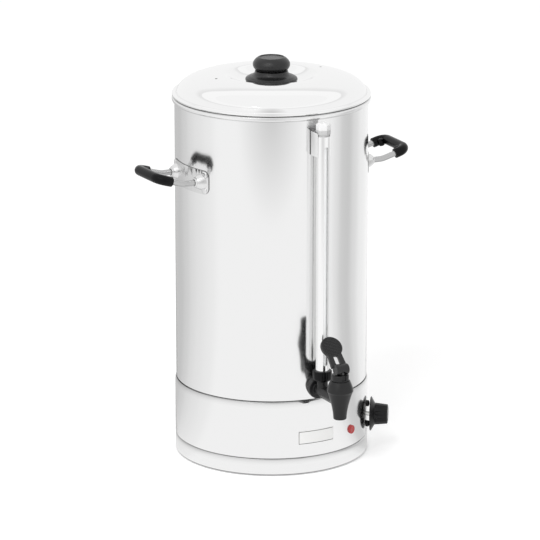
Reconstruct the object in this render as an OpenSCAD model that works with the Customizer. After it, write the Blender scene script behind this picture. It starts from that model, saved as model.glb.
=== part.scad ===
// Electric hot water urn: lift-off lid, tank, side handles, sight gauge, lever tap, base and heater.
// Millimetres, +Z up. The urn stands on z = 0, its axis is the Z axis and the tap faces -Y.
// An azimuth is an angle round the urn, counted from the tap (-Y) towards +X.

/* [Tank] */
// Outer radius of the tank wall
tank_r = 130; // [126:1:136]
// Thickness of the stainless sheet
sheet = 1; // [0.8:0.1:1.2]
// Height of the top of the tank's rolled rim
rim_z = 494; // [460:1:540]
// Radius of the roll at the rim
rim_roll_r = 2.2; // [1.8:0.1:2.6]
// Height of the rolled band at the rim
rim_band_h = 6.2; // [5.4:0.1:8]
// Corner radius between the tank's floor and its neck
floor_corner_r = 4; // [3:0.5:5]

/* [Base] */
// Height of the seam between the tank and the base skirt
skirt_top_z = 103.5; // [100:0.5:105]
// Height of the seam between the skirt and the bottom ring
ring_top_z = 24; // [22:0.5:28]
// How far the skirt and the bottom ring stand out from the tank wall
skirt_step = 1.5; // [1.2:0.1:2]
// Height of the rounded shoulder at the top of the skirt and of the ring
shoulder_h = 9; // [7:0.5:10]
// Depth of the groove at each seam
groove = 1.6; // [1.5:0.1:1.8]
// Gap between the floor and the lower edge of the bottom ring
ring_gap = 1.5; // [1:0.25:2.5]
// Width of the inward flange under the bottom ring
ring_flange_w = 10; // [8:1:12]
// Height of the base plate's underside, which is the length of the feet
plate_z = 9; // [7:0.5:11]
// Radius of a rubber foot
foot_r = 11; // [9:0.5:13]
// Distance of each foot from the axis
foot_ring_r = 100; // [94:1:104]
// Number of feet
feet_n = 4; // [3:1:6]

/* [Lid] */
// Gap between the lid's flange and the rim
lid_gap = 0.3; // [0.3:0.1:0.6]
// Radius of the bead at the lid's edge
lid_bead_r = 2.8; // [2.4:0.1:3]
// Depth of the wall that centres the lid in the tank
lid_wall_h = 8; // [5:0.5:12]
// Side play of that wall in the tank
lid_play = 2; // [1:0.25:2.5]
// Height of the lid's crown above the rim
crown_h = 29.5; // [27:0.5:34]
// Radius of the crown, the highest ring of the lid
crown_r = 64; // [60:1:68]
// Depth of the dished centre below the crown
dish_depth = 11; // [8:0.5:12]
// Radius of the flat floor of the dish
dish_r = 34; // [32:1:38]
// Radius of a steam vent hole
vent_r = 1.6; // [1.2:0.1:2]
// Distance of the vent holes from the axis
vent_ring_r = 79; // [76:1:84]

/* [Lid knob] */
// Radius of the knob's bulb
bulb_r = 25; // [22:0.5:27]
// Height of the knob above its flange piece
bulb_h = 18.5; // [16:0.5:22]
// Radius of the flat on top of the knob
bulb_flat_r = 16; // [13:0.5:17]
// Radius of the knob's finger flange
flange_r = 35; // [31:0.5:36]
// Height of the flange piece with its flared neck
flange_h = 15; // [13:0.5:17]
// Radius of the flared neck's top
neck_r = 21; // [19:0.5:22]
// Shank radius of the knob's screw
lid_screw_r = 3; // [2.5:0.5:3]

/* [Handles] */
// Azimuth of the handles, one on each side
handle_az = 88; // [84:1:92]
// Height of the handles' feet
handle_z = 397; // [370:1:410]
// Half width of a handle's back plate
plate_half_w = 47.6; // [46:0.2:49]
// Height of the back plate
plate_h = 32; // [30:1:36]
// Thickness of the back plate
plate_t = 1.2; // [1:0.1:1.5]
// Radius of the rod
rod_r = 4; // [3.5:0.25:4.5]
// Half the distance between the two legs of a handle
leg_x = 33; // [32:0.5:35]
// Distance of the grip's centre line from the tank wall
handle_reach = 57; // [54:0.5:62]
// Upward tilt of the legs past their bend
handle_tilt = 16; // [9:1:17]
// Radius of the corners of the rod
rod_corner_r = 12; // [10:0.5:13]
// Outer radius of the grip
grip_r = 6.8; // [6.2:0.1:7.4]
// Length of straight leg that the grip covers
grip_leg = 6; // [4:0.5:9]
// Radius of a grip lug
lug_r = 3.6; // [3.3:0.1:4]
// Height of a foot boss above the back plate
boss_h = 5; // [4:0.5:7]
// Straight length of a leg between its boss and its bend
leg_straight = 11; // [8:0.5:14]

/* [Rivets] */
// Shank radius of a rivet
rivet_r = 2.4; // [2:0.2:2.6]
// Head radius of a rivet
rivet_head_r = 4.4; // [4:0.2:4.6]
// Distance of the rivets to each side of the middle of a handle
rivet_dx = 40.6; // [39.8:0.1:41]
// Distance of the rivets above and below the middle of a handle
rivet_dz = 10.8; // [9.8:0.1:11.2]

/* [Tap] */
// Height of the tap's barrel
tap_z = 120; // [118:0.5:122]
// Distance of the valve's axis from the tank wall
valve_out = 66.5; // [64:0.5:70]
// Outer radius of the barrel
barrel_r = 8; // [7.5:0.25:8.5]
// Radius of the barrel's bore
barrel_bore_r = 4.6; // [4:0.1:5]
// Radius of the thread that passes through the tank wall
thread_r = 9.6; // [9:0.1:9.8]
// Radius of the tap's flange at the wall
tap_flange_r = 13.5; // [12.5:0.25:14.5]
// Thickness of each tap seal
seal_t = 2.5; // [2:0.25:3]
// Radius of the outlet bore
outlet_r = 6; // [5:0.25:6.25]
// Length of the valve body from its bulge down to the outlet
spout_h = 39; // [36:0.5:42]
// Radius of the valve body at its bulge
bulge_r = 17.8; // [17:0.2:18.6]
// Height of the valve body above its bulge
valve_cap_h = 14; // [13:0.5:15]
// Radius of the stem's shaft
stem_r = 3; // [2.75:0.25:3.25]
// Running clearance of the stem and of the lever's pin
run_gap = 0.06; // [0.03:0.01:0.08]
// Radius of the lever's pin
pin_r = 1.6; // [1.5:0.1:1.8]
// Radius of the lever's cam
cam_r = 7; // [6.6:0.1:7.2]
// Offset of the cam from the pin
cam_offset = 3.5; // [3:0.1:3.6]
// Travel of the lever in degrees
lever_travel = 70; // [50:1:75]
// Lean of the closed lever above the level, in degrees
lever_lean = 45; // [44:1:50]
// Distance from the pin to the middle of the lever's thumb disc
lever_len = 35; // [32:0.5:35.5]
// Radius of the thumb disc
thumb_r = 15; // [13:0.5:15.5]
// Thickness of the lever
lever_t = 4.5; // [4:0.25:4.75]
// Turns of the valve's spring
spring_turns = 5; // [3:1:6]

/* [Sight gauge] */
// Distance of the gauge's axis from the tank wall
gauge_out = 17; // [16.5:0.25:17.5]
// Outer radius of the guard tube
guard_r = 9; // [8.5:0.25:9.5]
// Width of the slot in the guard
slot_w = 6; // [5:0.25:7]
// Distance from the rim down to the top of the guard
guard_drop = 25; // [23:0.5:30]
// Outer radius of the glass tube
glass_r = 5; // [4.5:0.25:5.5]
// Wall of the glass tube
glass_wall = 1.2; // [1:0.1:1.6]
// Radius of the cup nut
cup_r = 12.8; // [12.2:0.1:13.2]
// Height of the cup nut
cup_h = 14; // [13:0.5:15]
// Height of the stub above the barrel's axis
stub_h = 15; // [14:0.5:16]
// Height of the vent cap
vent_cap_h = 18; // [15:0.5:19]
// Height of the upper bracket
bracket_h = 33; // [28:1:36]

/* [Controls] */
// Azimuth of the thermostat
thermostat_az = 56.5; // [52:0.5:60]
// Height of the thermostat's axis
thermostat_z = 50.5; // [48:0.5:58]
// Radius of the knob's skirt
dial_r = 23.5; // [21:0.5:24.5]
// Distance from the wall to the back of the knob
knob_off = 4.7; // [4.2:0.1:6]
// Distance of each fixing screw from the thermostat's axis
fixing_dy = 14.5; // [13.5:0.5:15]
// Thickness of the knob's rim
knob_rim_t = 1.5; // [1.2:0.1:2]
// Height of the cone between the knob's rim and its grip
knob_cone_h = 4.3; // [3:0.1:5]
// Height of the knob's grip
knob_grip_h = 18; // [16:0.5:22]
// Radius of the knob's grip at its foot
knob_grip_r = 15; // [14:0.5:16]
// Number of flutes round the knob's grip
flutes_n = 9; // [6:1:12]
// Radius of the spindle
spindle_r = 3; // [2.5:0.25:3]
// Azimuth of the indicator lamp
lamp_az = 27.5; // [25:0.5:29]
// Height of the indicator lamp
lamp_z = 48; // [44:0.5:58]
// Radius of the lamp's lens
lens_r = 6; // [5.75:0.25:7]
// Height of the middle of the small plate on the skirt
label_z = 52; // [46:0.5:58]
// Height of the small plate
label_h = 18.5; // [14:0.5:22]
// Half width of the small plate round the skirt, in degrees
label_half_deg = 11.5; // [9:0.5:12]

/* [Heater] */
// Radius of the heating element's ring
element_ring_r = 78; // [70:1:84]
// Radius of the element's tube
element_r = 4; // [3.5:0.25:4.25]
// Height of the element above the tank's floor
element_lift = 14; // [12:0.5:18]
// Half the distance between the element's legs
element_leg_x = 12; // [11:0.5:14]
// Radius of the element's threaded bush
bush_r = 5; // [4.5:0.25:5]

/* [Cord entry] */
// Height of the cord entry at the rear
entry_z = 38; // [36:0.5:44]
// Radius of the bore that takes the cord
entry_bore_r = 3.75; // [3:0.25:4]

/* [Hidden] */
$fn = 72;
// Segments of the large circles that small pieces are fitted to
fine = 360;

// Colours
steel = [0.82, 0.83, 0.84];
black = [0.12, 0.12, 0.12];
rubber = [0.2, 0.2, 0.2];
red = [0.75, 0.12, 0.12];

// Tank and seams
floor_z = skirt_top_z - 6.5;
floor_top = floor_z + sheet;
tank_neck_r = tank_r - groove + 0.1;
tank_in_r = tank_r - sheet;
skirt_r = tank_r + skirt_step;
skirt_in_r = skirt_r - sheet;
skirt_neck_r = skirt_r - groove + 0.1;
seam_fit = 0.2;
base_plate_r = skirt_in_r - 1.3;
eps = 0.01;

// Lid
lid_z = rim_z + lid_gap;
crown_z = rim_z + crown_h;
dish_z = crown_z - dish_depth;
lid_wall_r = tank_in_r - lid_play;
bead_x = tank_r + 0.4;
knob_seat_z = dish_z;
flange_top_z = knob_seat_z + flange_h;
vent_az = 95.5;

// Length of a cutter to each side of a wall
through = 10;

// Handles
bend_r = 32;
boss_foot_r = 12.5;
lug_half = 4.5;
leg_start = tank_r + 2;
bend_start = tank_r + boss_h + leg_straight;
leg_top = tank_r + handle_reach - bend_start - bend_r * sin(handle_tilt);
leg_len = leg_top / cos(handle_tilt) - rod_corner_r;
lug_x = leg_x - 9.6;
lug_out = leg_len + 2.4;
screw_r = 1.4;

// Tap: the valve's axis, its seat and its heights
valve_y = -(tank_r + valve_out);
seat_z = tap_z - 6;
bulge_z = tap_z + 14.5;
outlet_z = bulge_z - spout_h;
valve_top_z = bulge_z + valve_cap_h;
cam_rest = asin(sin(lever_travel / 2));
cam_gap = 0.35;
bonnet_top_z = valve_top_z + 8.6;
pin_z = bonnet_top_z + cam_gap + cam_r - cam_offset * sin(cam_rest);
tap_wall_y = -(tank_r + seal_t);
lock_nut_t = 7;

// Gauge
gauge_y = -(tank_r + gauge_out);
stub_z = tap_z + stub_h;
cup_top_z = stub_z + cup_h;
guard_top_z = rim_z - guard_drop;
glass_top_z = guard_top_z + 6;
bracket_top_z = guard_top_z + 5;
bracket_rivet_dz = 9;

// Places of the wall rivets: azimuth and height
handle_rivets = [for (side = [-1, 1], turn = [-1, 1], dz = [-rivet_dz, rivet_dz])
    [side * handle_az + turn * asin(rivet_dx / tank_r), handle_z + dz]];
bracket_rivets = [for (dz = [-bracket_rivet_dz, bracket_rivet_dz])
    [0, bracket_top_z - bracket_h / 2 + dz]];

// Thermostat, outwards from the wall
screw_head_t = 3.4;
knob_back = skirt_r + knob_off;
grip_foot = knob_back + knob_rim_t + knob_cone_h;
body_face = skirt_in_r - 5.5;
body_depth = 28;
body_half = 20;
capillary_in = body_face - 21;

// Heater
element_z = floor_top + element_lift;
element_leg_y = sqrt(element_ring_r * element_ring_r - element_leg_x * element_leg_x);
leg_below = 14;
bush_below = 8;
element_pin_z = floor_z - 24;
probe_r = 3;
probe_l = 60;
capillary_bow = 20;
bracket_z = floor_z - 6;
sensor_y = 30;
cutout_x = 24;
post_dx = 20;
terminal_y = element_ring_r;
block_h = 14;
earth_at = [48, terminal_y - 4];

// A point [x, y] on a cubic Bezier curve from a to d
function bez(a, b, c, d, n = 8) = [for (i = [0:n]) let (t = i / n)
    pow(1 - t, 3) * a + 3 * pow(1 - t, 2) * t * b + 3 * (1 - t) * t * t * c + pow(t, 3) * d];

// Points of a circle's arc
function arc(c, r, from, to, n = 6) = [for (i = [0:n]) let (w = from + (to - from) * i / n)
    c + r * [cos(w), sin(w)]];

// A line of points, moved sideways to its left by t
function beside(p, t) = [for (i = [0:len(p) - 1])
    let (d = p[min(i + 1, len(p) - 1)] - p[max(i - 1, 0)]) p[i] + t * [-d[1], d[0]] / norm(d)];

// The outline of a sheet of thickness t along a line of points
function sheet_outline(p, t) = let (q = beside(p, t))
    concat(p, [for (i = [len(q) - 1:-1:0]) [max(q[i][0], 0), q[i][1]]]);

// Places its child at an azimuth, a height and a distance from the axis, with +Z outwards and +Y up
module outwards(az, z, d) {
    rotate([0, 0, az]) translate([0, -d, z]) rotate([90, 0, 0]) children();
}

// A cylinder with a bore
module ring(r, bore, h) {
    difference() {
        cylinder(r = r, h = h);
        translate([0, 0, -1]) cylinder(r = bore, h = h + 2);
    }
}

// Rings of points round a line of points, each square to the line, starting from the side given by up
function rings(line, r, up, sides) = [for (i = [0:len(line) - 1])
    let (d = line[min(i + 1, len(line) - 1)] - line[max(i - 1, 0)], t = d / norm(d),
         u = cross(t, up) / norm(cross(t, up)), v = cross(t, u))
    for (k = [0:sides - 1]) line[i] + r * (cos(k * 360 / sides) * u + sin(k * 360 / sides) * v)];

// A wire swept along a line of points
module wire(line, r, up, sides = 8) {
    last = (len(line) - 1) * sides;
    walls = [for (i = [0:len(line) - 2], k = [0:sides - 1])
        let (a = i * sides + k, b = i * sides + (k + 1) % sides) [a, b, b + sides, a + sides]];
    ends = [[for (k = [sides - 1:-1:0]) k], [for (k = [0:sides - 1]) last + k]];
    polyhedron(points = rings(line, r, up, sides), faces = concat(ends, walls));
}

// ---- Lid ----

module lid_shell() {
    dome = concat(
        bez([lid_wall_r, lid_z + 0.5], [lid_wall_r - 0.4, rim_z + 11], [lid_wall_r - 6, crown_z - 10.5],
            [lid_wall_r - 23, crown_z - 5.7], 9),
        bez([lid_wall_r - 23, crown_z - 5.7], [lid_wall_r - 35, crown_z - 2.3], [crown_r + 14, crown_z],
            [crown_r, crown_z], 6),
        bez([crown_r, crown_z], [crown_r - 7, crown_z], [dish_r + 16, dish_z], [dish_r, dish_z], 8),
        [[0, dish_z]]);
    color(steel) difference() {
        union() {
            rotate_extrude() polygon(sheet_outline(dome, sheet));
            rotate_extrude() union() {
                translate([bead_x, lid_z + lid_bead_r]) circle(r = lid_bead_r, $fn = 32);
                translate([lid_wall_r - sheet, lid_z]) square([bead_x - lid_wall_r + sheet, sheet]);
                translate([lid_wall_r - sheet, lid_z - lid_wall_h]) square([sheet, lid_wall_h + sheet]);
            }
        }
        translate([0, 0, dish_z - 5]) cylinder(r = lid_screw_r + 0.3, h = 10, $fn = 32);
        for (az = [-vent_az, vent_az]) rotate([0, 0, az]) translate([0, -vent_ring_r, crown_z - 12])
            cylinder(r = vent_r, h = 20, $fn = 24);
    }
}

module lid_knob_flange() {
    outline = concat(
        [[0, knob_seat_z], [flange_r - 9.5, knob_seat_z], [flange_r - 9.5, knob_seat_z + 1.6]],
        arc([flange_r - 2.7, knob_seat_z + 3.3], 2.7, -70, 75),
        bez([flange_r - 2.4, knob_seat_z + 6], [flange_r - 6, knob_seat_z + 9.2],
            [neck_r + 3.6, knob_seat_z + 7.6], [neck_r + 1.3, flange_top_z - 1.8]),
        [[neck_r + 1.3, flange_top_z - 0.8], [neck_r + 0.6, flange_top_z], [0, flange_top_z]]);
    color(black) difference() {
        rotate_extrude() polygon(outline);
        translate([0, 0, knob_seat_z - 1]) cylinder(r = lid_screw_r + 0.2, h = flange_h + 2, $fn = 32);
    }
}

module lid_knob() {
    top = flange_top_z + bulb_h;
    outline = concat(
        [[0, flange_top_z]],
        bez([neck_r - 1.2, flange_top_z], [neck_r + 1.6, flange_top_z + 2], [bulb_r, top - 13.5],
            [bulb_r, top - 9.8], 6),
        bez([bulb_r, top - 9.8], [bulb_r, top - 6], [bulb_r - 3.5, top - 2], [bulb_flat_r + 1, top], 6),
        [[bulb_flat_r + 0.6, top], [bulb_flat_r, top - 0.8], [0, top - 0.8]]);
    color(black) difference() {
        rotate_extrude() polygon(outline);
        translate([0, 0, flange_top_z - 1]) cylinder(r = lid_screw_r, h = 13, $fn = 32);
    }
}

module lid_knob_screw() {
    head_h = 3;
    color(steel) union() {
        translate([0, 0, dish_z - sheet - head_h]) cylinder(r = 6.5, h = head_h);
        translate([0, 0, dish_z - sheet - eps]) cylinder(r = lid_screw_r, h = flange_h + 12, $fn = 32);
    }
}

// ---- Tank ----

module tank() {
    bead_c = tank_in_r + rim_roll_r;
    corner_c = [tank_neck_r - floor_corner_r, floor_z + floor_corner_r];
    outer = concat([[0, floor_z]], arc(corner_c, floor_corner_r, -90, 0),
        [[tank_neck_r, skirt_top_z + 0.2], [tank_r, skirt_top_z + 1.8], [tank_r, rim_z - rim_roll_r]]);
    inner = concat([[tank_in_r, rim_z - rim_roll_r], [tank_in_r, skirt_top_z + 1.8],
        [tank_neck_r - sheet, skirt_top_z + 0.2]],
        arc(corner_c, floor_corner_r - sheet, 0, -90), [[0, floor_top]]);
    color(steel) difference() {
        union() {
            rotate_extrude() polygon(concat(outer, inner));
            rotate_extrude() union() {
                translate([bead_c, rim_z - rim_roll_r]) circle(r = rim_roll_r, $fn = 32);
                translate([bead_c, rim_z - rim_band_h + rim_roll_r]) circle(r = rim_roll_r, $fn = 32);
                translate([tank_in_r, rim_z - rim_band_h + rim_roll_r])
                    square([2 * rim_roll_r, rim_band_h - 2 * rim_roll_r]);
            }
        }
        for (p = concat(handle_rivets, bracket_rivets)) outwards(p[0], p[1], tank_r - through)
            cylinder(r = rivet_r, h = 2 * through, $fn = 24);
        outwards(0, tap_z, tank_r - through) cylinder(r = thread_r + 0.3, h = 2 * through);
        for (s = [-1, 1]) translate([s * element_leg_x, element_leg_y, floor_z - 1])
            cylinder(r = bush_r + 0.2, h = sheet + 2, $fn = 32);
    }
}

module tie_bolt() {
    nut_z = plate_z - 5;
    color(steel) {
        translate([0, 0, nut_z - 1.5]) cylinder(r = 3, h = floor_z - nut_z + 1.5);
        translate([0, 0, nut_z]) difference() {
            union() {
                translate([0, 0, 1.2]) cylinder(r = 9, h = plate_z - nut_z - 1.2);
                cylinder(r = 5.8, h = 3, $fn = 6);
            }
            translate([0, 0, -1]) cylinder(r = 3, h = 8);
        }
    }
}

// ---- Handles ----

// The bent path of a handle's rod, from a start along the tilted legs, as a solid of radius r
module u_path(r, start) {
    for (s = [0, 1]) mirror([s, 0, 0]) {
        translate([leg_x, 0, start]) cylinder(r = r, h = leg_len - start, $fn = 32);
        translate([leg_x - rod_corner_r, 0, leg_len]) rotate([90, 0, 0])
            rotate_extrude(angle = 90) translate([rod_corner_r, 0]) circle(r = r, $fn = 32);
    }
    bar = leg_x - rod_corner_r;
    translate([-bar, 0, leg_len + rod_corner_r]) rotate([0, 90, 0]) cylinder(r = r, h = 2 * bar, $fn = 32);
}

// Places its child in the tilted frame of a handle's legs
module tilted() {
    translate([0, bend_r * (1 - cos(handle_tilt)), bend_start + bend_r * sin(handle_tilt)])
        rotate([-handle_tilt, 0, 0]) children();
}

// The centre line of one half of a rod: out of the boss, up through the bend, and round the corner
function rod_line(s) = concat(
    [[s * leg_x, 0, leg_start]],
    [for (w = [0:handle_tilt / 4:handle_tilt + eps])
        [s * leg_x, bend_r * (1 - cos(w)), bend_start + bend_r * sin(w)]],
    [for (w = [0:15:90])
        let (x = leg_x - rod_corner_r + rod_corner_r * cos(w), z = leg_len + rod_corner_r * sin(w))
        [s * x, bend_r * (1 - cos(handle_tilt)) + z * sin(handle_tilt),
         bend_start + bend_r * sin(handle_tilt) + z * cos(handle_tilt)]]);

module handle_rod(side) {
    back = rod_line(-1);
    color(steel) outwards(side * handle_az, handle_z, 0)
        wire(concat(rod_line(1), [for (i = [len(back) - 1:-1:0]) back[i]]), rod_r, [0, 1, 0], 20);
}

// The outline of a back plate: a band whose ends are round lobes
module plate_outline() {
    half = plate_half_w;
    corner = 9;
    union() {
        square([2 * half - 2 * corner, plate_h], center = true);
        square([2 * half, plate_h - 2 * corner], center = true);
        for (x = [-1, 1], y = [-1, 1]) translate([x * (half - corner), y * (plate_h / 2 - corner)])
            circle(r = corner, $fn = 48);
    }
}

module handle_plate(side) {
    color(steel) difference() {
        intersection() {
            translate([0, 0, handle_z - plate_h]) ring(tank_r + plate_t, tank_r, 2 * plate_h, $fn = fine);
            outwards(side * handle_az, handle_z, 0) linear_extrude(2 * tank_r) plate_outline();
        }
        for (p = handle_rivets) outwards(p[0], p[1], tank_r - through)
            cylinder(r = rivet_r, h = 2 * through, $fn = 24);
    }
}

module handle_bosses(side) {
    boss_out = tank_r + plate_t + boss_h;
    color(steel) difference() {
        for (s = [-1, 1]) outwards(side * handle_az, handle_z, 0) translate([s * leg_x, 0, tank_r - 8])
            union() {
                cylinder(r1 = boss_foot_r, r2 = 7, h = boss_out - 2 - tank_r + 8, $fn = 48);
                cylinder(r = 6, h = boss_out - tank_r + 8, $fn = 48);
            }
        translate([0, 0, handle_z - 20]) cylinder(r = tank_r + plate_t, h = 40, $fn = fine);
        for (s = [-1, 1]) outwards(side * handle_az, handle_z, 0)
            translate([s * leg_x, 0, leg_start]) cylinder(r = rod_r, h = 20, $fn = 32);
        for (p = handle_rivets) outwards(p[0], p[1], tank_r)
            cylinder(r = rivet_head_r + 0.3, h = 10, $fn = 32);
    }
}

// One half of a grip: up is 1 for the upper shell and -1 for the lower one
module grip_half(side, up) {
    half_box = 2 * leg_x + 4 * grip_r;
    color(black) outwards(side * handle_az, handle_z, 0) tilted() difference() {
        union() {
            u_path(grip_r, leg_len - grip_leg);
            for (s = [-1, 1]) translate([s * lug_x, 0, lug_out]) rotate([90, 0, 0])
                cylinder(r = lug_r, h = 2 * lug_half, center = true, $fn = 32);
        }
        u_path(rod_r + 0.05, leg_len - grip_leg - 2);
        translate([-half_box / 2, up > 0 ? -half_box : 0, -half_box])
            cube([half_box, half_box, 3 * half_box]);
        for (s = [-1, 1]) translate([s * lug_x, 0, lug_out]) rotate([90, 0, 0])
            cylinder(r = screw_r, h = 4 * lug_half, center = true, $fn = 24);
    }
}

module grip_screws() {
    color(steel) for (side = [-1, 1]) outwards(side * handle_az, handle_z, 0) tilted()
        for (s = [-1, 1]) translate([s * lug_x, 0, lug_out]) rotate([-90, 0, 0]) union() {
            translate([0, 0, 0.5 - lug_half]) cylinder(r = screw_r, h = 2 * lug_half, $fn = 24);
            translate([0, 0, lug_half]) cylinder(r = 2.6, h = 1.2, $fn = 24);
        }
}

module wall_rivets() {
    color(steel) for (p = concat(handle_rivets, bracket_rivets)) outwards(p[0], p[1], 0) {
        head = tank_r + plate_t;
        union() {
            translate([0, 0, tank_in_r - 1.25]) cylinder(r = 3.4, h = 1.2, $fn = 24);
            translate([0, 0, tank_in_r - 0.5]) cylinder(r = rivet_r, h = head - tank_in_r + 0.8, $fn = 24);
            translate([0, 0, head]) cylinder(r = rivet_head_r, h = 0.6, $fn = 32);
            translate([0, 0, head + 0.6])
                cylinder(r1 = rivet_head_r, r2 = rivet_head_r - 1.6, h = 0.9, $fn = 32);
        }
    }
}

// ---- Sight gauge ----

module gauge_guard() {
    bottom = cup_top_z - 3;
    color(steel) translate([0, gauge_y, 0]) difference() {
        translate([0, 0, bottom]) ring(guard_r, guard_r - sheet, guard_top_z - bottom);
        translate([0, 0, cup_top_z + 11]) rotate([90, 0, 0]) cylinder(r = slot_w / 2, h = 20, $fn = 32);
        translate([0, 0, guard_top_z - 17]) rotate([90, 0, 0]) cylinder(r = slot_w / 2, h = 20, $fn = 32);
        translate([-slot_w / 2, -20, cup_top_z + 11]) cube([slot_w, 20, guard_top_z - 28 - cup_top_z]);
    }
}

module gauge_glass() {
    bottom = stub_z + 3;
    color([0.85, 0.92, 0.95, 0.5]) translate([0, gauge_y, bottom])
        ring(glass_r, glass_r - glass_wall, glass_top_z - bottom);
}

module gauge_vent_cap() {
    cap_r = 9.8;
    lift = 2.5;
    color([0.9, 0.9, 0.88]) translate([0, gauge_y, guard_top_z]) difference() {
        union() {
            translate([0, 0, lift]) rotate([0, 0, 30])
                cylinder(r = cap_r, h = vent_cap_h - lift - 2, $fn = 6);
            translate([0, 0, vent_cap_h - 2]) cylinder(r1 = cap_r - 0.8, r2 = cap_r - 4, h = 2);
            translate([0, 0, -6]) cylinder(r = guard_r - sheet - 0.05, h = lift + 6.5);
        }
        translate([0, 0, -7]) cylinder(r = glass_r + 0.1, h = 14);
        translate([0, 0, 6]) cylinder(r = 1.2, h = 30, $fn = 24);
    }
}

module gauge_cup_nut() {
    color(black) translate([0, gauge_y, stub_z]) difference() {
        union() {
            cylinder(r1 = cup_r - 2, r2 = cup_r, h = 3);
            translate([0, 0, 3]) cylinder(r = cup_r, h = cup_h - 3);
        }
        translate([0, 0, -1]) cylinder(r = 6.6, h = 2 * cup_h);
        translate([0, 0, cup_h - 3]) cylinder(r = guard_r, h = 5);
        for (i = [0:15]) rotate([0, 0, i * 22.5])
            translate([cup_r + 0.9, 0, 4]) cylinder(r = 1.4, h = cup_h, $fn = 16);
    }
}

module gauge_seal() {
    color(rubber) translate([0, gauge_y, stub_z + 7.6]) ring(6.5, glass_r, 3);
}

module gauge_bracket() {
    half = guard_r + 1.2;
    color(steel) difference() {
        translate([-half, gauge_y - 2, bracket_top_z - bracket_h]) cube([2 * half, gauge_out + 8, bracket_h]);
        translate([-guard_r, gauge_y - 10, bracket_top_z - bracket_h - 1])
            cube([2 * guard_r, gauge_out + 10 - plate_t, bracket_h + 2]);
        translate([0, 0, bracket_top_z - bracket_h - 1]) cylinder(r = tank_r, h = bracket_h + 2, $fn = fine);
        for (p = bracket_rivets) outwards(p[0], p[1], tank_r - 5) cylinder(r = rivet_r, h = 10, $fn = 24);
    }
}

// ---- Tap ----

// The outside of the valve body, as points of radius and height
function valve_outside() = concat(
    [[0, outlet_z], [outlet_r + 2.4, outlet_z], [outlet_r + 2.8, outlet_z + 1]],
    bez([outlet_r + 3, outlet_z + 4], [outlet_r + 3.8, outlet_z + 16], [bulge_r - 4.5, bulge_z - 12],
        [bulge_r - 1.4, bulge_z - 2.5], 6),
    [[bulge_r, bulge_z], [bulge_r - 0.4, bulge_z + 2]],
    bez([bulge_r - 0.4, bulge_z + 2], [bulge_r - 1, bulge_z + 6], [bulge_r - 3.4, valve_top_z - 3],
        [bulge_r - 4.6, valve_top_z], 4),
    [[0, valve_top_z]]);

// The space inside it: outlet, seat and chamber
function valve_inside() = [
    [0, outlet_z - 1], [outlet_r, outlet_z - 1], [outlet_r, seat_z], [outlet_r + 3, seat_z],
    [outlet_r + 3, tap_z + barrel_r - 1], [bulge_r - 4.2, bulge_z], [bulge_r - 6.6, valve_top_z - 6],
    [bulge_r - 7, valve_top_z - 5], [bulge_r - 7, valve_top_z + 1], [0, valve_top_z + 1]];

module tap_body() {
    thread_end = tank_r - 20;
    color(black) difference() {
        union() {
            translate([0, valve_y, 0]) rotate_extrude() polygon(valve_outside());
            outwards(0, tap_z, -tap_wall_y - eps) cylinder(r = barrel_r, h = valve_out - seal_t);
            outwards(0, tap_z, -tap_wall_y) cylinder(r = tap_flange_r, h = 4);
            outwards(0, tap_z, thread_end) cylinder(r = thread_r, h = tank_r + seal_t - thread_end + 1);
            translate([0, gauge_y, tap_z]) cylinder(r = 7.5, h = stub_h);
            translate([0, gauge_y, stub_z - 1]) cylinder(r = 6.5, h = 8.5);
        }
        outwards(0, tap_z, thread_end - 1)
            cylinder(r = barrel_bore_r, h = tank_r + valve_out - 3 - thread_end);
        translate([0, valve_y, 0]) rotate_extrude() polygon(valve_inside());
        translate([0, gauge_y, tap_z]) cylinder(r = 3, h = stub_h + 10, $fn = 32);
        translate([0, gauge_y, stub_z + 3]) cylinder(r = glass_r + 0.1, h = 10);
    }
}

module tap_outer_seal() {
    color(rubber) difference() {
        outwards(0, tap_z, tank_r - 6) cylinder(r = tap_flange_r - 0.5, h = seal_t + 6);
        translate([0, 0, tap_z - 20]) cylinder(r = tank_r, h = 40, $fn = fine);
        outwards(0, tap_z, tank_r - 8) cylinder(r = thread_r, h = 20);
    }
}

module tap_inner_seal() {
    color(rubber) difference() {
        intersection() {
            outwards(0, tap_z, tank_in_r - seal_t - 0.8) cylinder(r = tap_flange_r - 0.5, h = 8);
            translate([0, 0, tap_z - 20]) cylinder(r = tank_in_r, h = 40, $fn = fine);
        }
        outwards(0, tap_z, tank_r - 18) cylinder(r = thread_r, h = 30);
    }
}

module tap_lock_nut() {
    color(steel) outwards(0, tap_z, tank_in_r - seal_t - 0.8 - lock_nut_t) difference() {
        cylinder(r = 15, h = lock_nut_t, $fn = 6);
        translate([0, 0, -1]) cylinder(r = thread_r, h = lock_nut_t + 2);
    }
}

module tap_bonnet() {
    plug_r = bulge_r - 7;
    color(black) translate([0, valve_y, 0]) difference() {
        union() {
            translate([0, 0, valve_top_z - 5]) cylinder(r = plug_r, h = 5.5);
            translate([0, 0, valve_top_z]) cylinder(r = plug_r + 0.8, h = bonnet_top_z - valve_top_z - 0.8);
            translate([0, 0, bonnet_top_z - 0.8]) cylinder(r1 = plug_r + 0.8, r2 = plug_r, h = 0.8);
        }
        translate([0, 0, valve_top_z - 10]) cylinder(r = stem_r + run_gap, h = 40);
        translate([-3, -plug_r - 5, valve_top_z + 2]) cube([6, 6.5, 20]);
    }
}

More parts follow.
